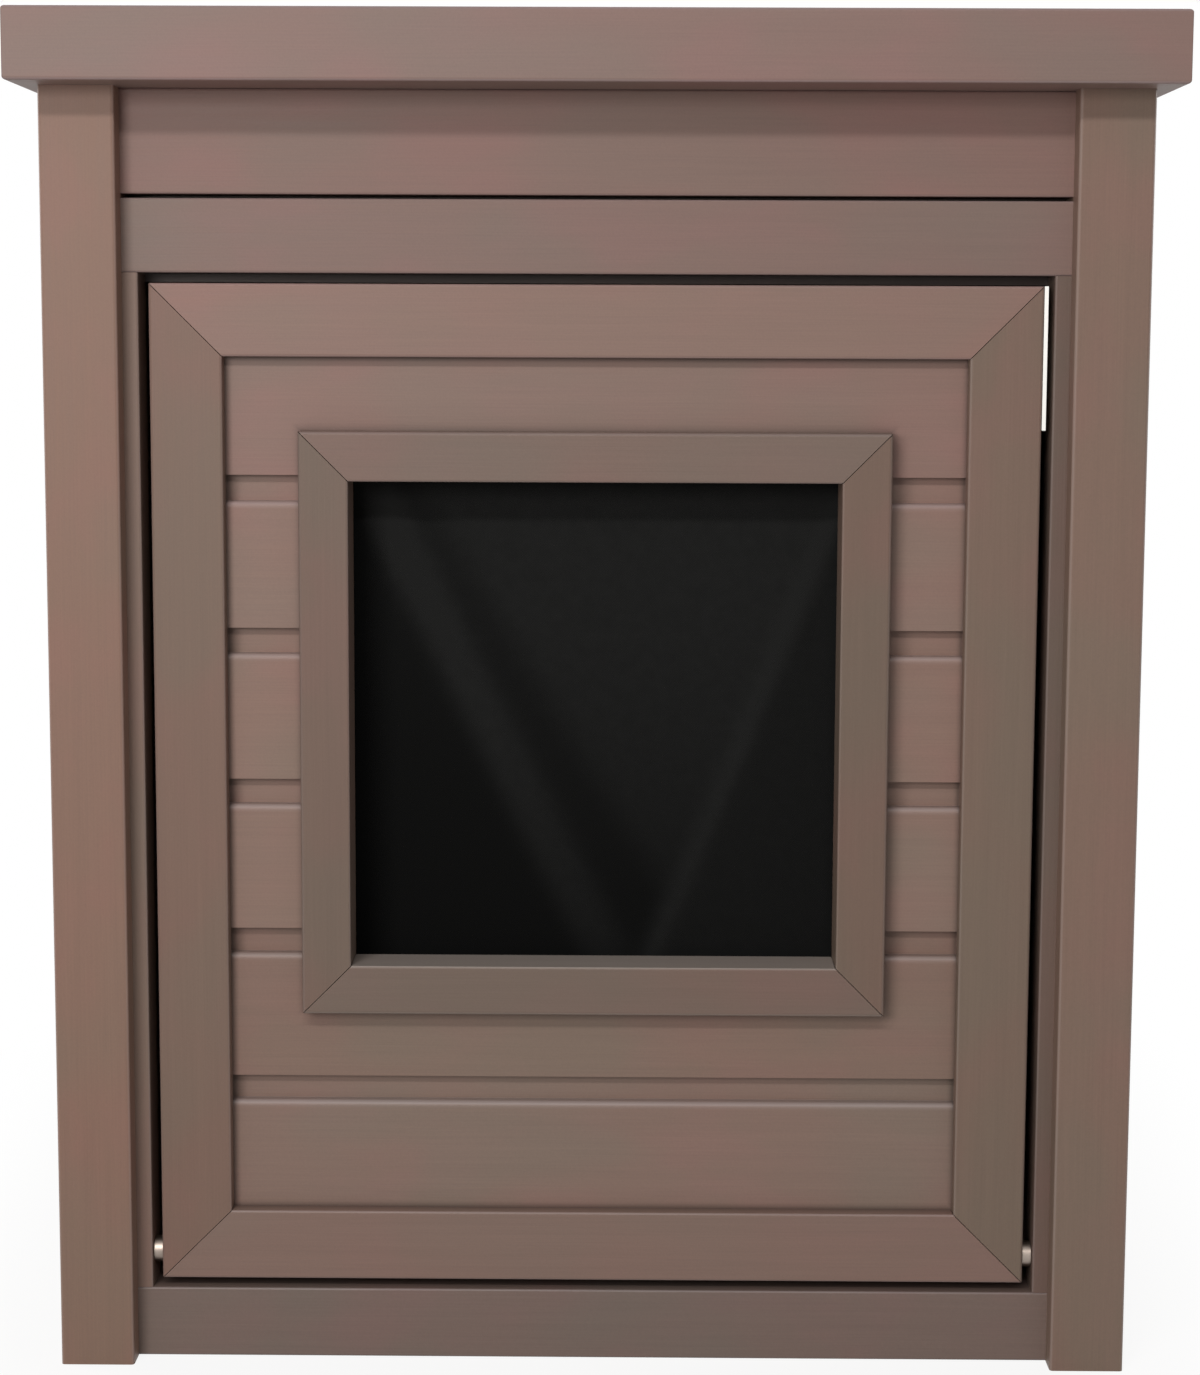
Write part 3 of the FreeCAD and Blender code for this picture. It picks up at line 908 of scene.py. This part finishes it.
def boards(stem: str, grain: Grain, tones: dict[str, tuple[float, Colour]]) -> dict[str, CompositeFinish]:
    """A finish for each of several boards, each with its own tone and its own run of the grain.

    Args:
        stem: what the nodes' names start with.
        grain: the way that the grain runs.
        tones: for each name's ending, how light the board is and its tint.

    Returns:
        The finishes by node name.
    """
    by_number, by_stem = 0.61, 0.13
    made = {}
    for number, (ending, (tone, tint)) in enumerate(tones.items(), start=1):
        shift = by_number * number + by_stem * len(stem)
        made[stem + ending] = CompositeFinish(stem + ending, grain, tone, tint, shift)
    return made


# Painted shade in the seam over the rail, in the gap over the door, and on the boards at the foot.
SEAM_SHADE = PaintedDepthShade(strength=0.20)
GAP_SHADE = PaintedDepthShade(strength=0.78)
FOOT_SHADE = PaintedDepthShade(strength=0.42)


@dataclass
class TableTop:
    """Mitred border and panel."""

    front: CompositeFinish = CompositeFinish(
        "top_front", Grain.ACROSS, tone=0.98, tint=(1.0, 0.98, 1.04), shift=0.4
    )
    rear: CompositeFinish = CompositeFinish(
        "top_rear", Grain.ACROSS, tone=0.97, tint=(1.0, 1.0, 1.04), shift=1.4
    )
    sides: CompositeFinish = CompositeFinish(
        "top_side", Grain.DEEP, tone=1.0, tint=(1.0, 0.99, 1.03), shift=2.4
    )
    panel: CompositeFinish = CompositeFinish(
        "top_panel", Grain.DEEP, tone=0.98, tint=(1.0, 1.0, 1.0), shift=3.4
    )

    def dress(self, shop: Workshop) -> None:
        """Give the top its finishes.

        Args:
            shop: the nodes and the shared effects.
        """
        shop.dress(("top_edge_front",), self.front)
        shop.dress(("top_edge_rear",), self.rear)
        shop.dress(("top_edge_left", "top_edge_right"), self.sides)
        shop.dress(("top_panel",), self.panel)


@dataclass
class Carcass:
    """Posts, rails, jambs, walls and floor."""

    posts: dict[str, CompositeFinish] = field(
        default_factory=lambda: boards(
            "post_",
            Grain.UP,
            {
                "front_left": (0.97, (1.0, 0.92, 0.84)),
                # The lower tone here is painted shade: the right side darker where the light falls off.
                "front_right": (0.90, (0.99, 0.99, 0.93)),
                "rear_left": (0.98, (1.0, 1.0, 1.0)),
                "rear_right": (1.02, (1.0, 0.99, 1.0)),
            },
        )
    )
    header: CompositeFinish = CompositeFinish(
        "header_board", Grain.ACROSS, tone=0.91, tint=(1.0, 0.93, 0.96), shift=0.61, dust_and_shade=(SEAM_SHADE,)
    )
    rail: CompositeFinish = CompositeFinish(
        "front_top_rail", Grain.ACROSS, tone=0.88, tint=(0.99, 0.99, 1.03), shift=1.22, dust_and_shade=(GAP_SHADE,)
    )
    foot: CompositeFinish = CompositeFinish(
        "front_bottom_rail", Grain.ACROSS, tone=0.80, tint=(0.94, 1.02, 1.06), shift=1.83, dust_and_shade=(FOOT_SHADE,)
    )
    jambs: dict[str, CompositeFinish] = field(
        default_factory=lambda: boards(
            # The jambs' low tones, the right one lowest, are painted shade: they lie in shade beside the
            # door.
            "door_jamb_", Grain.UP, {"left": (0.80, (0.98, 1.0, 0.96)), "right": (0.62, (0.98, 1.0, 0.98))}
        )
    )
    walls: tuple[CompositeFinish, ...] = (
        CompositeFinish("wall_board_first", Grain.DEEP, tone=1.0, tint=(1.0, 1.0, 1.0), shift=6.1),
        CompositeFinish("wall_board_second", Grain.DEEP, tone=0.95, tint=(0.98, 1.01, 1.0), shift=6.9),
        CompositeFinish("wall_board_third", Grain.DEEP, tone=1.03, tint=(1.0, 0.99, 1.02), shift=7.7),
    )
    backs: CompositeFinish = CompositeFinish(
        "back_board", Grain.ACROSS, tone=0.98, tint=(1.0, 1.0, 1.0), shift=8.3
    )
    inner: CompositeFinish = CompositeFinish(
        "inner_board", Grain.DEEP, tone=0.95, tint=(0.98, 1.0, 1.0), shift=9.1
    )

    def dress(self, shop: Workshop) -> None:
        """Give the carcass its finishes.

        Args:
            shop: the nodes and the shared effects.
        """
        for finish in (*self.posts.values(), *self.jambs.values(), self.header, self.rail, self.foot):
            shop.dress((finish.name,), finish)
        for stem in ("left_", "right_"):
            for number, name in enumerate(numbered(stem, shop.nodes)):
                # Boards of one wall differ in tone, and the stem's length makes the two walls differ.
                turn = number * number + len(stem)
                shop.dress((name,), self.walls[turn % len(self.walls)])
        shop.dress(numbered("back_", shop.nodes), self.backs)
        shop.dress(("floor_panel", "support_cleats"), self.inner)


@dataclass
class DoorLeaf:
    """Mitred door frame, slats and the trim round the entry."""

    frame_top: CompositeFinish = CompositeFinish(
        "door_frame_top", Grain.ACROSS, tone=1.08, tint=(1.0, 0.92, 0.93), shift=2.04, dust_and_shade=(GAP_SHADE,)
    )
    frame_foot: CompositeFinish = CompositeFinish(
        "door_frame_bottom",
        Grain.ACROSS,
        tone=0.92,
        tint=(1.0, 1.0, 1.0),
        shift=2.65,
        dust_and_shade=(FOOT_SHADE,),
        clouds=0.26,
    )
    frame_upright: dict[str, CompositeFinish] = field(
        default_factory=lambda: boards(
            "door_frame_",
            Grain.UP,
            {"left": (0.80, (1.0, 0.96, 0.90)), "right": (0.80, (0.98, 1.01, 0.94))},
        )
    )
    trim_top: CompositeFinish = CompositeFinish(
        "entry_trim_top", Grain.ACROSS, tone=0.80, tint=(0.99, 1.0, 1.0), shift=1.3
    )
    trim_sill: CompositeFinish = CompositeFinish(
        "entry_trim_bottom",
        Grain.ACROSS,
        tone=0.72,
        tint=(0.99, 1.02, 1.0),
        shift=1.9,
        # The sill's top is paler as painted light from above.
        wear_and_highlight=(0.66, 0.56, 0.52),
        lit_from_above=0.9,
    )
    trim_upright: dict[str, CompositeFinish] = field(
        default_factory=lambda: boards(
            "entry_trim_",
            Grain.UP,
            {"left": (0.69, (0.99, 1.0, 0.95)), "right": (0.70, (0.99, 1.0, 0.93))},
        )
    )
    slat_tones: tuple[tuple[float, Colour], ...] = (
        (1.03, (1.0, 0.96, 0.98)),
        (1.07, (1.0, 0.96, 0.96)),
        (1.05, (1.0, 0.98, 0.96)),
        (1.03, (1.0, 1.01, 0.99)),
        (0.92, (1.0, 1.02, 0.98)),
        (0.99, (0.98, 1.01, 1.0)),
    )
    trim_reach: float = 4.5 * MM
    frame_reach: float = 3.0 * MM
    # How dark the painted shade round the trim and the frame is.
    corner_shade_strength: float = 0.50
    # Share of paler rounded edges on the slats, partly wear and partly painted highlight.
    slat_edges: float = 0.34
    slat_shift: float = 0.47

    def slat_corner_shade(self) -> tuple[PaintedCornerShade, ...]:
        """Find where painted shade darkens the slats.

        Returns:
            The lines of painted shade round the trim and along the door's frame.
        """
        lines = []
        for stem, reach in (("entry_trim_", self.trim_reach), ("door_frame_", self.frame_reach)):
            low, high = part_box(stem + "left")[0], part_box(stem + "right")[1]
            inset = 0.0 if stem == "entry_trim_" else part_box(stem + "left")[1].x - low.x
            edges = (low.x + inset, high.x - inset, low.z + inset, high.z - inset)
            lines.append(PaintedCornerShade(*edges, reach, self.corner_shade_strength))
        return tuple(lines)

    @staticmethod
    def face_top(slat: Piece) -> float:
        """Find where a slat's front face ends under its groove.

        Args:
            slat: the slat's node.

        Returns:
            The height of the face's upper edge.
        """
        face_depth = 1.5 * MM
        back_of_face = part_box(slat.name)[0].y + face_depth
        return max(v.co.z for v in slat.data.vertices if v.co.y < back_of_face)

    def dress(self, shop: Workshop) -> None:
        """Give the door its finishes.

        Args:
            shop: the nodes and the shared effects.
        """
        for group in (self.frame_upright, self.trim_upright):
            for name, finish in group.items():
                shop.dress((name,), finish)
        for finish in (self.frame_top, self.frame_foot, self.trim_top, self.trim_sill):
            shop.dress((finish.name,), finish)
        # Painted shade on the slats round the trim and inside the door's frame.
        dust_and_shade = self.slat_corner_shade()
        for number, (tone, tint) in enumerate(self.slat_tones, start=1):
            name = f"door_slat_{number}"
            # Painted highlight along each slat's upper edge.
            painted_highlight = PaintedEdgeHighlight(self.face_top(shop.nodes[name]))
            shift = self.slat_shift * number
            finish = CompositeFinish(
                name, Grain.ACROSS, tone, tint, shift, dust_and_shade, painted_highlight, edges=self.slat_edges
            )
            shop.dress((name,), finish)


@dataclass
class Hardware:
    """Pivots, catch, screws and curtain hooks."""

    pivot: MetalFinish = MetalFinish(
        "pivot_steel", colour=(0.36, 0.30, 0.26), tarnish=(0.20, 0.15, 0.12), roughness=0.26
    )
    plate: MetalFinish = MetalFinish(
        "strike_nickel",
        colour=(0.86, 0.84, 0.80),
        tarnish=(0.66, 0.63, 0.58),
        roughness=0.20,
        lines=(900.0, 900.0, 60.0),
    )
    magnet: MetalFinish = MetalFinish(
        "magnet_steel", colour=(0.42, 0.42, 0.43), tarnish=(0.25, 0.24, 0.23), roughness=0.38
    )
    screw: MetalFinish = MetalFinish(
        "screw_zinc", colour=(0.66, 0.65, 0.62), tarnish=(0.46, 0.44, 0.40), roughness=0.30
    )
    case: MouldedFinish = MouldedFinish(
        "catch_case_brown", colour=(0.060, 0.042, 0.034), dusty=(0.11, 0.09, 0.08)
    )

    def dress(self, shop: Workshop) -> None:
        """Give the metal and plastic pieces their finishes.

        Args:
            shop: the nodes and the shared effects.
        """
        shop.dress(("door_pivot_pins", "door_pivot_spacers"), self.pivot)
        shop.dress(("strike_plate",), self.plate)
        shop.dress(("catch_magnet",), self.magnet)
        shop.dress(("catch_case",), self.case)
        shop.dress(("cabinet_screws", "door_screws", "curtain_hooks"), self.screw)


def ease(value: float) -> float:
    """Smooth step from 0 to 1."""
    share = min(1.0, max(0.0, value))
    return share * share * (3.0 - 2.0 * share)


def new_piece(name: str, mesh: bmesh.types.BMesh, smooth: bool) -> Piece:
    """Turn a finished mesh into an object in the scene.

    Args:
        name: the piece's name.
        mesh: its mesh, which is freed.
        smooth: shade its faces smooth.

    Returns:
        The new object.
    """
    data = bpy.data.meshes.new(name)
    mesh.to_mesh(data)
    mesh.free()
    for polygon in data.polygons:
        polygon.use_smooth = smooth
    piece = bpy.data.objects.new(name, data)
    bpy.context.scene.collection.objects.link(piece)
    return piece


@dataclass(frozen=True)
class Fold:
    """A ridge in the cloth that runs straight from its top edge down to its foot."""

    top_x: float
    foot_x: float
    width: float
    power: int
    height: float
    fall: float

    def past(self, x: float, down: float) -> float:
        """How far x lies to the right of the ridge, at a share of the way down."""
        return x - (self.top_x * (1 - down) + self.foot_x * down)

    def raised(self, level: float, past: float, down: float) -> float:
        """The cloth's level with the ridge laid over it."""
        share = math.exp(-((abs(past) / self.width) ** self.power))
        return level + (self.height - self.fall * down - level) * share


@dataclass
class EntryCurtain:
    """A square of black cloth behind the entry, hung by its top corners so that its folds run to a V.

    Levels go from 0 in the cloth's deepest hollow to 1 on its ridges, and what ends in _fall is how much
    lower a level is at the foot. What ends in _run is how wide the slope between two levels is.
    """

    cloth: ClothFinish = ClothFinish("black_cotton")
    thread: ClothFinish = ClothFinish(
        "black_thread", colour=(0.006, 0.006, 0.006), fold_lit=(0.02, 0.02, 0.02)
    )
    eyelet: MetalFinish = MetalFinish(
        "eyelet_brass", colour=(0.60, 0.52, 0.34), tarnish=(0.34, 0.27, 0.16), roughness=0.32
    )
    step: float = 2.0 * MM
    thickness: float = 0.7 * MM
    side_margin: float = 0.4 * MM
    fold_depth: float = 6.6 * MM
    left_fold: Fold = Fold(
        top_x=-105.8 * MM, foot_x=10.9 * MM, width=11.5 * MM, power=3, height=1.42, fall=1.08
    )
    right_fold: Fold = Fold(
        top_x=116.5 * MM, foot_x=21.6 * MM, width=6.0 * MM, power=2, height=1.50, fall=0.90
    )
    outer: float = 0.45
    hollow: float = 0.62
    hollow_fall: float = 0.65
    hollow_least: float = 0.06
    hollow_run: float = 12.0 * MM
    belly: float = 0.95
    belly_fall: float = 0.90
    belly_start: float = 8.0 * MM
    belly_spread: float = 24.0 * MM
    belly_run: float = 22.0 * MM
    right_side: float = 0.62
    right_side_fall: float = 0.30
    right_side_run: float = 10.0 * MM
    edge_level: float = 0.45
    edge_run: float = 28.0 * MM
    lowest: float = 0.08
    level_gain: float = 0.64
    hem: float = 11.0 * MM
    hem_layer: float = 0.8 * MM
    hem_under_top: float = 12.0 * MM
    stitch_inset: float = 9.0 * MM
    stitch_under_top: float = 14.0 * MM
    stitch_pitch: float = 3.4 * MM
    stitch_length: float = 2.4 * MM
    stitch_radius: float = 0.28 * MM
    eyelet_hole: float = 1.5 * MM
    eyelet_rim: float = 3.4 * MM
    eyelet_roll: float = 0.8 * MM
    eyelet_sides: int = 40
    eyelet_turns: int = 14
    hook_in: float = 4.0 * MM
    hook_down: float = 5.8 * MM

    def __post_init__(self) -> None:
        """Read where the construction's cloth is."""
        low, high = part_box("entry_curtain")
        self.left = low.x + self.side_margin
        self.right = high.x - self.side_margin
        self.bottom = low.z
        self.top = high.z
        self.front = low.y + self.thickness / 2
        self.hole_z = high.z - self.hook_down
        self.hole_x = high.x - self.hook_in

    def crest(self, x: float, z: float) -> float:
        """How far the cloth stands out in its folds.

        Two folds run in and down from the top corners, and between them the cloth bellies out.

        Args:
            x: the point's place from left to right.
            z: its height.

        Returns:
            The level there.
        """
        down = (self.top - z) / (self.top - self.bottom)
        past_left = self.left_fold.past(x, down)
        past_right = self.right_fold.past(x, down)
        level = self.outer * (1 - down) ** 2
        hollow = max(self.hollow_least, self.hollow - self.hollow_fall * down)
        level += (hollow - level) * ease(past_left / self.hollow_run + 0.5)
        belly = self.belly - self.belly_fall * down * down
        belly_edge = self.belly_start + self.belly_spread * down
        level += (belly - hollow) * ease((past_left - belly_edge) / self.belly_run)
        right_side = self.right_side - self.right_side_fall * down
        level += (right_side - level) * ease(past_right / self.right_side_run + 0.5)
        level = self.left_fold.raised(level, past_left, down)
        return self.right_fold.raised(level, past_right, down)

    def point(self, x: float, z: float, behind: float = 0.0) -> Vector:
        """Where the cloth is at a place of its front.

        Args:
            x: the place from left to right.
            z: its height.
            behind: how far the point is pushed back.

        Returns:
            The point.
        """
        below_edge = ease((self.top - z) / self.edge_run)
        level = min(1.0, self.lowest + self.level_gain * self.crest(x, z))
        share = self.edge_level + (level - self.edge_level) * below_edge
        return Vector((x, self.front + (1.0 - share) * self.fold_depth + behind, z))

    def strip(self, name: str, area: tuple[float, float, float, float], behind: float) -> Piece:
        """A stretch of the cloth as a piece of its own.

        Args:
            name: the piece's name.
            area: left, right, bottom and top.
            behind: how far it lies behind the cloth's middle.

        Returns:
            The new object, with the cloth's thickness and the levels of its folds for the finish.
        """
        left, right, bottom, top = area
        columns = max(1, round((right - left) / self.step))
        rows = max(1, round((top - bottom) / self.step))
        mesh = bmesh.new()
        grid = []
        for row in range(rows + 1):
            z = top + (bottom - top) * row / rows
            line = [left + (right - left) * column / columns for column in range(columns + 1)]
            grid.append([mesh.verts.new(self.point(x, z, behind)) for x in line])
        for upper, lower in zip(grid, grid[1:]):
            for column in range(columns):
                corners = (upper[column], upper[column + 1], lower[column + 1], lower[column])
                if not self.in_eyelet(corners):
                    mesh.faces.new(corners)
        loose = [vert for vert in mesh.verts if not vert.link_faces]
        bmesh.ops.delete(mesh, geom=loose, context="VERTS")
        piece = new_piece(name, mesh, smooth=True)
        # These levels drive the painted light on the fold crests.
        levels = [self.crest(vert.co.x, vert.co.z) for vert in piece.data.vertices]
        crests = piece.data.attributes.new(self.cloth.crest, "FLOAT", "POINT")
        crests.data.foreach_set("value", levels)
        solid = piece.modifiers.new("thickness", "SOLIDIFY")
        solid.thickness = self.thickness
        solid.offset = 0.0
        return piece

    def in_eyelet(self, corners: tuple[bmesh.types.BMVert, ...]) -> bool:
        """Whether a face lies in one of the two holes.

        Args:
            corners: the face's corners.

        Returns:
            True where the cloth is left open.
        """
        for side in (-1, 1):
            far = max(math.hypot(v.co.x - side * self.hole_x, v.co.z - self.hole_z) for v in corners)
            if far < self.eyelet_hole + self.step:
                return True
        return False

    def stitches(self) -> Piece:
        """Sew rows of stitches along the hem at the sides and the bottom.

        Returns:
            The stitches as one object.
        """
        left, right = self.left + self.stitch_inset, self.right - self.stitch_inset
        low, high = self.bottom + self.stitch_inset, self.top - self.stitch_under_top
        rows = (((left, high), (left, low)), ((right, high), (right, low)), ((left, low), (right, low)))
        shape = Matrix.Diagonal((self.stitch_radius, self.stitch_radius, self.stitch_length / 2, 1.0))
        mesh = bmesh.new()
        for (x0, z0), (x1, z1) in rows:
            length = math.hypot(x1 - x0, z1 - z0)
            along = Vector(((x1 - x0) / length, 0.0, (z1 - z0) / length))
            turn = Vector((0.0, 0.0, 1.0)).rotation_difference(along).to_matrix().to_4x4()
            for number in range(int(length / self.stitch_pitch)):
                middle = (number + 0.5) * self.stitch_pitch
                x, z = x0 + along.x * middle, z0 + along.z * middle
                place = self.point(x, z) - Vector((0.0, self.thickness / 2, 0.0))
                where = Matrix.Translation(place) @ turn @ shape
                bmesh.ops.create_icosphere(mesh, subdivisions=1, radius=1.0, matrix=where)
        return new_piece("curtain_stitches", mesh, smooth=False)

    def eyelets(self) -> Piece:
        """Roll the two eyelets that line the holes for the hooks.

        Returns:
            The eyelets as one object.
        """
        mesh = bmesh.new()
        middle_radius = (self.eyelet_hole + self.eyelet_rim) / 2
        half_wide = (self.eyelet_rim - self.eyelet_hole) / 2
        sides, turns = self.eyelet_sides, self.eyelet_turns
        for side in (-1, 1):
            centre = self.point(side * self.hole_x, self.hole_z)
            rings = []
            for step in range(sides):
                angle = 2 * math.pi * step / sides
                ring = []
                for turn in range(turns):
                    bend = 2 * math.pi * turn / turns
                    radius = middle_radius + half_wide * math.cos(bend)
                    rise = self.eyelet_roll * math.sin(bend)
                    offset = Vector((radius * math.cos(angle), rise, radius * math.sin(angle)))
                    ring.append(mesh.verts.new(centre + offset))
                rings.append(ring)
            for step in range(sides):
                here, there = rings[step], rings[(step + 1) % sides]
                for turn in range(turns):
                    after = (turn + 1) % turns
                    mesh.faces.new((here[turn], there[turn], there[after], here[after]))
        bmesh.ops.recalc_face_normals(mesh, faces=mesh.faces)
        return new_piece("curtain_eyelets", mesh, smooth=True)

    def build(self, shop: Workshop) -> None:
        """Make the cloth, its hems, stitches and eyelets, and hang them on the curtain's body.

        Args:
            shop: the shared effects, which the finishes need.
        """
        low, high = self.bottom, self.top - self.hem_under_top
        sheet = self.strip("curtain_cloth", (self.left, self.right, low, self.top), 0.0)
        hems = []
        for ending, area, layers in (
            ("left", (self.left, self.left + self.hem, low, high), 1),
            ("right", (self.right - self.hem, self.right, low, high), 1),
            ("bottom", (self.left, self.right, low, low + self.hem), 2),
        ):
            hems.append(self.strip("curtain_hem_" + ending, area, layers * self.hem_layer))
        finishes = {piece: self.cloth for piece in (sheet, *hems)}
        stitches = self.stitches()
        eyelets = self.eyelets()
        finishes[stitches] = self.thread
        finishes[eyelets] = self.eyelet
        for piece, finish in finishes.items():
            piece.data.materials.append(shop.made(finish))
            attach(piece, "curtain")
            LOG.info("%s: built", piece.name)
        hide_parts("entry_curtain")


# ---- studio ------------------------------------------------------------------------------------------


@dataclass(frozen=True)
class Lamp:
    """An area lamp that looks at a point."""

    name: str
    place: tuple[float, float, float]
    target: tuple[float, float, float]
    size: tuple[float, float]
    power: float
    colour: Colour = (1.0, 1.0, 1.0)

    def build(self) -> None:
        """Add the lamp to the scene."""
        light = bpy.data.lights.new(self.name, "AREA")
        light.shape = "RECTANGLE"
        light.size, light.size_y = self.size
        light.energy = self.power
        light.color = self.colour
        lamp = bpy.data.objects.new(self.name, light)
        lamp.location = self.place
        looks = Vector(self.target) - Vector(self.place)
        lamp.rotation_euler = looks.to_track_quat("-Z", "Y").to_euler()
        bpy.context.scene.collection.objects.link(lamp)


@dataclass(frozen=True)
class PhotoCamera:
    """The camera of the photograph, from a fit to the corners of the posts, rails, door and entry."""

    post_face_y: float = -0.276
    across: float = 0.0110
    distance: float = 1.16986
    height: float = 0.43644
    yaw: float = 0.0073
    pitch: float = 0.12278
    roll: float = 0.00417
    lens_mm: float = 74.637
    sensor_mm: float = 36.0
    clip_start: float = 0.05

    def build(self) -> None:
        """Add the camera and make it the scene's own."""
        right = Vector((math.cos(self.yaw), math.sin(self.yaw), 0.0))
        ahead = Vector((-math.sin(self.yaw), math.cos(self.yaw), 0.0))
        forward = ahead * math.cos(self.pitch) - Vector((0.0, 0.0, math.sin(self.pitch)))
        up = right.cross(forward)
        turned_right = right * math.cos(self.roll) + up * math.sin(self.roll)
        turned_up = up * math.cos(self.roll) - right * math.sin(self.roll)
        data = bpy.data.cameras.new("photo_camera")
        data.lens = self.lens_mm
        data.sensor_width = self.sensor_mm
        data.sensor_fit = "AUTO"
        data.clip_start = self.clip_start
        camera = bpy.data.objects.new("photo_camera", data)
        turn = Matrix((turned_right, turned_up, -forward)).transposed().to_4x4()
        place = Vector((self.across, self.post_face_y - self.distance, self.height))
        camera.matrix_world = Matrix.Translation(place) @ turn
        bpy.context.scene.collection.objects.link(camera)
        bpy.context.scene.camera = camera


@dataclass
class Studio:
    """White floor and surroundings, with soft light from above on the front left."""

    camera: PhotoCamera = PhotoCamera()
    lamps: tuple[Lamp, ...] = (
        Lamp(
            "key",
            place=(-0.30, -2.05, 1.46),
            target=(0.0, -0.27, 0.45),
            size=(1.3, 0.12),
            power=14.2,
            colour=(1.0, 0.97, 0.94),
        ),
        Lamp(
            "fill",
            place=(-0.56, -1.70, 0.64),
            target=(0.0, -0.27, 0.36),
            size=(0.6, 0.45),
            power=8.9,
            colour=(1.0, 0.955, 0.92),
        ),
        Lamp("left_side", place=(-2.0, 0.45, 0.95), target=(-0.2, 0.0, 0.28), size=(0.9, 0.9), power=17.0),
        Lamp("right_side", place=(2.0, 0.45, 0.95), target=(0.2, 0.0, 0.28), size=(0.9, 0.9), power=17.0),
        Lamp("back", place=(0.5, 2.2, 1.1), target=(0.0, 0.3, 0.28), size=(1.2, 0.9), power=18.0),
    )
    air: Colour = (1.0, 0.98, 0.97)
    ambient: float = 0.17
    floor_half: float = 4.0
    floor_light: Colour = (0.42, 0.41, 0.40)
    floor_seen: Colour = (0.98, 0.98, 0.98)
    shadow_margin: float = 0.02
    floor_shadow: float = 0.12
    shadow_reach: float = 0.16

    def background_share(self, tree: NodeTree) -> Socket:
        """Tell the rays that show the background from those that light the object.

        Args:
            tree: the tree of the world or the floor.

        Returns:
            A socket that is 1 for rays from the camera, a gloss or a glass.
        """
        path = tree.add("LightPath")
        seen = tree.math("MAXIMUM", path.outputs["Is Camera Ray"], path.outputs["Is Glossy Ray"])
        return tree.math("MAXIMUM", seen, path.outputs["Is Transmission Ray"])

    def build_world(self) -> None:
        """White where it is seen, and a plain soft grey as a light."""
        world = bpy.data.worlds.new("studio")
        bpy.context.scene.world = world
        tree = emptied(world)
        light = tree.add("Background")
        light.inputs["Color"].default_value = (*self.air, 1.0)
        light.inputs["Strength"].default_value = self.ambient
        white = tree.add("Background")
        white.inputs["Color"].default_value = (1.0, 1.0, 1.0, 1.0)
        white.inputs["Strength"].default_value = 1.0
        mix = tree.add("MixShader")
        tree.link(self.background_share(tree), mix.inputs[0])
        tree.link(light.outputs[0], mix.inputs[1])
        tree.link(white.outputs[0], mix.inputs[2])
        output = tree.add("OutputWorld")
        tree.link(mix.outputs[0], output.inputs["Surface"])

    def build_floor(self) -> None:
        """A plain floor that looks white and keeps the object's shadow."""
        half = self.floor_half
        data = bpy.data.meshes.new("floor")
        corners = [(-half, -half, 0.0), (half, -half, 0.0), (half, half, 0.0), (-half, half, 0.0)]
        data.from_pydata(corners, [], [(0, 1, 2, 3)])
        floor = bpy.data.objects.new("floor", data)
        bpy.context.scene.collection.objects.link(floor)
        material = bpy.data.materials.new("white_floor")
        tree = emptied(material)
        dull = tree.add("BsdfDiffuse")
        dull.inputs["Color"].default_value = (*self.floor_light, 1.0)
        pale = tree.add("BsdfDiffuse")
        pale.inputs["Color"].default_value = (*self.floor_seen, 1.0)
        white = tree.add("Emission")
        white.inputs["Strength"].default_value = 1.0
        shown = tree.add("MixShader")
        place = tree.add("TexCoord")
        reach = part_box("top_panel")[1] + Vector((self.shadow_margin, self.shadow_margin, 0.0))
        spread = tree.vector("ABSOLUTE", place.outputs["Object"]).outputs[0]
        beyond = tree.vector("SUBTRACT", spread, (reach.x, reach.y, 0.0)).outputs[0]
        beyond = tree.vector("MAXIMUM", beyond, (0.0, 0.0, 0.0)).outputs[0]
        away = tree.vector("LENGTH", beyond).outputs["Value"]
        gone = tree.spread(away, low=0.0, high=self.shadow_reach)
        left = tree.math("MULTIPLY", tree.math("SUBTRACT", 1.0, gone), self.floor_shadow)
        tree.link(left, shown.inputs[0])
        tree.link(white.outputs[0], shown.inputs[1])
        tree.link(pale.outputs[0], shown.inputs[2])
        mix = tree.add("MixShader")
        tree.link(self.background_share(tree), mix.inputs[0])
        tree.link(dull.outputs[0], mix.inputs[1])
        tree.link(shown.outputs[0], mix.inputs[2])
        output = tree.add("OutputMaterial")
        tree.link(mix.outputs[0], output.inputs["Surface"])
        data.materials.append(material)

    def build(self) -> None:
        """Build the whole studio."""
        bpy.context.scene.view_settings.view_transform = "Standard"
        self.camera.build()
        self.build_world()
        self.build_floor()
        for lamp in self.lamps:
            lamp.build()
        LOG.info("studio: built")


def write_sizes() -> None:
    """Update the view layer.
    """
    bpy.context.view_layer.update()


def main() -> None:
    """Load the construction, dress it and build the studio."""
    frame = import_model()
    shop = Workshop(frame["nodes"], SharedEffects())
    for assembly in (TableTop(), Carcass(), DoorLeaf(), Hardware()):
        assembly.dress(shop)
    EntryCurtain().build(shop)
    Studio().build()
    write_sizes()


if __name__ == "__main__":
    logging.basicConfig(level=logging.INFO, format="%(name)s %(message)s")
    main()
